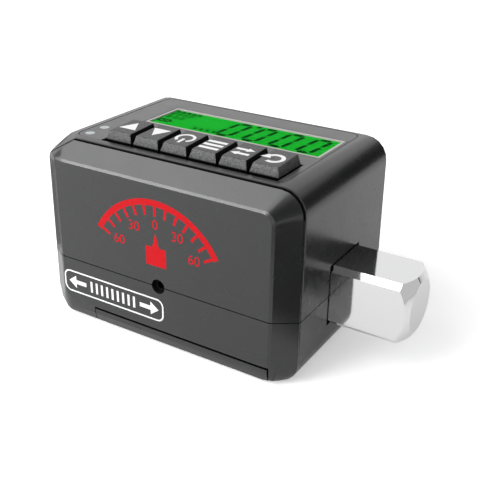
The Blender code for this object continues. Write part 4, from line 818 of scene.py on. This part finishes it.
def rounded_outline(left, low, right, high, radius, steps=6):
    """A rectangle with round corners, as points."""
    points = []
    for x, y, start in ((right, low, -90), (right, high, 0), (left, high, 90), (left, low, 180)):
        centre_x = x - radius if x == right else x + radius
        centre_y = y + radius if y == low else y - radius
        for i in range(steps + 1):
            angle = math.radians(start + 90 * i / steps)
            points.append((centre_x + radius * math.cos(angle), centre_y + radius * math.sin(angle)))
    return points


def raised_frame(bm, outer, inner, origin, across, up, raised):
    """Adds a closed line between two outlines with the same number of points."""
    count = len(outer)
    out = across.cross(up)
    rings = []
    for outline, lift in ((outer, -INK_SUNK), (outer, raised), (inner, raised), (inner, -INK_SUNK)):
        rings.append([bm.verts.new(origin + across * u + up * v + out * lift) for u, v in outline])
    for k in range(4):
        ring, following = rings[k], rings[(k + 1) % 4]
        for i in range(count):
            j = (i + 1) % count
            bm.faces.new((ring[i], ring[j], following[j], following[i]))


def flat_number(name, words, height, place, across, up, mat):
    """A plain number as a thin mesh on a face; its place is the middle of its foot."""
    curve = bpy.data.curves.new(name, "FONT")
    curve.body = words
    curve.size = height / FIGURE_SHARE
    curve.align_x = "CENTER"
    curve.extrude = (PRINT_RAISED + INK_SUNK) / 2
    lettering = bpy.data.objects.new(name + "_flat", curve)
    scene.collection.objects.link(lettering)
    mesh = bpy.data.meshes.new_from_object(lettering.evaluated_get(bpy.context.evaluated_depsgraph_get()))
    bpy.data.objects.remove(lettering, do_unlink=True)
    out = across.cross(up)
    turn = Matrix((across, up, out)).transposed().to_4x4()
    mesh.transform(Matrix.Translation(place + out * (PRINT_RAISED - INK_SUNK) / 2) @ turn)
    mesh.materials.clear()
    mesh.materials.append(mat)
    number = bpy.data.objects.new(name, mesh)
    scene.collection.objects.link(number)
    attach(number, "housing")


red_ink = grained_finish("red_ink", RED, 0.42, 0.15 * MM, 0.001 * MM, 0.03)
tune(red_ink, "Specular IOR Level", 0.1)
front_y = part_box("upper_housing")[0].y
dial_origin = Vector((DIAL_CENTRE_X * MM, front_y, DIAL_CENTRE_Z * MM))
dial = bmesh.new()
dial_arc = arc_outline(DIAL_RADIUS, DIAL_LINE, 90 - DIAL_HALF_ANGLE, 90 + DIAL_HALF_ANGLE, DIAL_STEPS)
for shape in (dial_arc, POINTER):
    raised_shape(dial, in_mm(shape), dial_origin, WORLD_X, WORLD_Z, PRINT_RAISED)
printed_piece("dial_print", dial, "housing", red_ink)
tick = bmesh.new()
tick_shape = rectangle(-TICK_WIDTH / 2, TICK_INNER, TICK_WIDTH / 2, TICK_OUTER)
raised_shape(tick, in_mm(tick_shape), Vector(), WORLD_X, WORLD_Z, PRINT_RAISED)
repeat_piece("dial_ticks", printed_piece("tick", tick, None, red_ink), "housing", red_ink, TICK_COUNT,
             dial_origin, first_turn=(0, -TICK_SPREAD * (TICK_COUNT - 1) / 2, 0), turn=(0, TICK_SPREAD, 0))
for degrees in DIAL_NUMBERS:
    angle = math.radians(degrees)
    foot = Vector((math.sin(angle) * NUMBER_RADIUS * MM, 0.0, math.cos(angle) * NUMBER_RADIUS * MM))
    side = "left" if degrees < 0 else "right"
    flat_number("dial_%d_%s" % (abs(degrees), side), str(abs(degrees)), NUMBER_HEIGHT,
                dial_origin + foot, WORLD_X, WORLD_Z, red_ink)

# White direction strip on the front
# A pad print in white near the left end: an outline with an arrow each way and a row of plain ticks
# between them.
STRIP_LEFT, STRIP_RIGHT, STRIP_LOW, STRIP_HIGH = -37.3, 1.7, 8.6, 16.2
STRIP_CORNER = 2.4
STRIP_LINE = 0.5
ARROW_LENGTH = 7.0
ARROW_MARGIN = 1.9
ARROW_HEAD = 2.9
ARROW_HALF_HEAD = 2.2
ARROW_HALF_STEM = 0.7
STRIP_TICKS = 9
STRIP_TICK_STEP = 2.1
STRIP_TICK_HALF_WIDTH = 0.4
STRIP_TICK_HALF_HEIGHT = 1.9

print_origin = WORLD_Y * front_y
strip = bmesh.new()
outer = rounded_outline(STRIP_LEFT, STRIP_LOW, STRIP_RIGHT, STRIP_HIGH, STRIP_CORNER)
inner = rounded_outline(STRIP_LEFT + STRIP_LINE, STRIP_LOW + STRIP_LINE, STRIP_RIGHT - STRIP_LINE,
                        STRIP_HIGH - STRIP_LINE, STRIP_CORNER - STRIP_LINE)
raised_frame(strip, in_mm(outer), in_mm(inner), print_origin, WORLD_X, WORLD_Z, PRINT_RAISED)
printed_piece("strip_outline", strip, "housing", mark_white)
middle_x, middle_z = (STRIP_LEFT + STRIP_RIGHT) / 2, (STRIP_LOW + STRIP_HIGH) / 2
arrows = bmesh.new()
for side in (-1, 1):
    tip = side * ((STRIP_RIGHT - STRIP_LEFT) / 2 - ARROW_MARGIN)
    back = tip - side * ARROW_LENGTH
    neck = tip - side * ARROW_HEAD
    shape = [
        (tip, 0.0),
        (neck, ARROW_HALF_HEAD),
        (neck, ARROW_HALF_STEM),
        (back, ARROW_HALF_STEM),
        (back, -ARROW_HALF_STEM),
        (neck, -ARROW_HALF_STEM),
        (neck, -ARROW_HALF_HEAD),
    ]
    arrow = in_mm(moved(shape, middle_x, middle_z))
    raised_shape(arrows, arrow, print_origin, WORLD_X, WORLD_Z, PRINT_RAISED)
printed_piece("strip_arrows", arrows, "housing", mark_white)
strip_tick = bmesh.new()
strip_tick_shape = rectangle(-STRIP_TICK_HALF_WIDTH, -STRIP_TICK_HALF_HEIGHT,
                             STRIP_TICK_HALF_WIDTH, STRIP_TICK_HALF_HEIGHT)
raised_shape(strip_tick, in_mm(strip_tick_shape), Vector(), WORLD_X, WORLD_Z, PRINT_RAISED)
first_tick = (middle_x - STRIP_TICK_STEP * (STRIP_TICKS - 1) / 2) * MM
repeat_piece("strip_ticks", printed_piece("strip_tick", strip_tick, None, mark_white), "housing", mark_white,
             STRIP_TICKS, (first_tick, front_y, middle_z * MM), step=(STRIP_TICK_STEP * MM, 0, 0))

# Screws
# Zinc plated steel: four long ones from below into the upper half, one in the battery cover, four short ones
# that hold the board to its posts.
screw_zinc = grained_finish("screw_zinc", (0.52, 0.53, 0.54), 0.32, 0.2 * MM, 0.002 * MM, 0.06, 0.06, 1.0)
SCREWS = ["housing_screw_%d" % n for n in range(1, 5)] + ["board_screw_%d" % n for n in range(1, 5)]
dress_nodes(screw_zinc, "cover_screw", *SCREWS)

# Boards and what is soldered to them
# Green solder mask on glass fibre board, black moulded chips, a white plug housing, polyimide strain gauges
# with copper foil, and the rubber strips under the display.
solder_mask = grained_finish("solder_mask", (0.01, 0.11, 0.035), 0.35, 0.8 * MM, 0.02 * MM, 0.3)
dress_nodes(solder_mask, "main_board", "jack_board", "gauge_terminal")
chip_black = grained_finish("chip_black", (0.014, 0.014, 0.015), 0.5, 0.1 * MM, 0.004 * MM)
dress_nodes(chip_black, "processor_chip", "amplifier_chip", "angle_sensor", "buzzer")
dress_nodes(jack_black_and_painted_shade, "data_jack")
gauge_foil = grained_finish("gauge_foil", (0.55, 0.26, 0.07), 0.35, 0.3 * MM, 0.004 * MM, 0.3, 0.1, 0.4)
dress_nodes(gauge_foil, "strain_gauge_top", "strain_gauge_front", "strain_gauge_bottom", "strain_gauge_rear")
white_moulding = grained_finish("white_moulding", (0.75, 0.75, 0.73), 0.45, 0.2 * MM, 0.003 * MM, 0.03)
dress_nodes(white_moulding, "backlight_guide", "lcd_frame", "cable_connector", "indicator_led_front",
            "indicator_led_rear")
silicone = grained_finish("silicone", (0.28, 0.28, 0.3), 0.6, 0.2 * MM, 0.005 * MM, 0.06)
dress_nodes(silicone, "lcd_strip_front", "lcd_strip_rear")

# Batteries and contacts
# Two AAA cells in plain printed sleeves, between nickel plated plates and springs.
sleeve = grained_finish("battery_sleeve", (0.02, 0.05, 0.18), 0.3, 0.5 * MM, 0.001 * MM, 0.08)
dress_nodes(sleeve, "battery_front", "battery_back")
contact_plate = grained_finish("contact_plate", (0.62, 0.58, 0.48), 0.28, 0.2 * MM, 0.002 * MM,
                               spread=0.06, gloss_spread=0.06, metallic=1.0)
PLATES = ["battery_plate_%s_%s" % (side, end) for side in ("front", "back") for end in ("left", "right")]
dress_nodes(contact_plate, *PLATES)
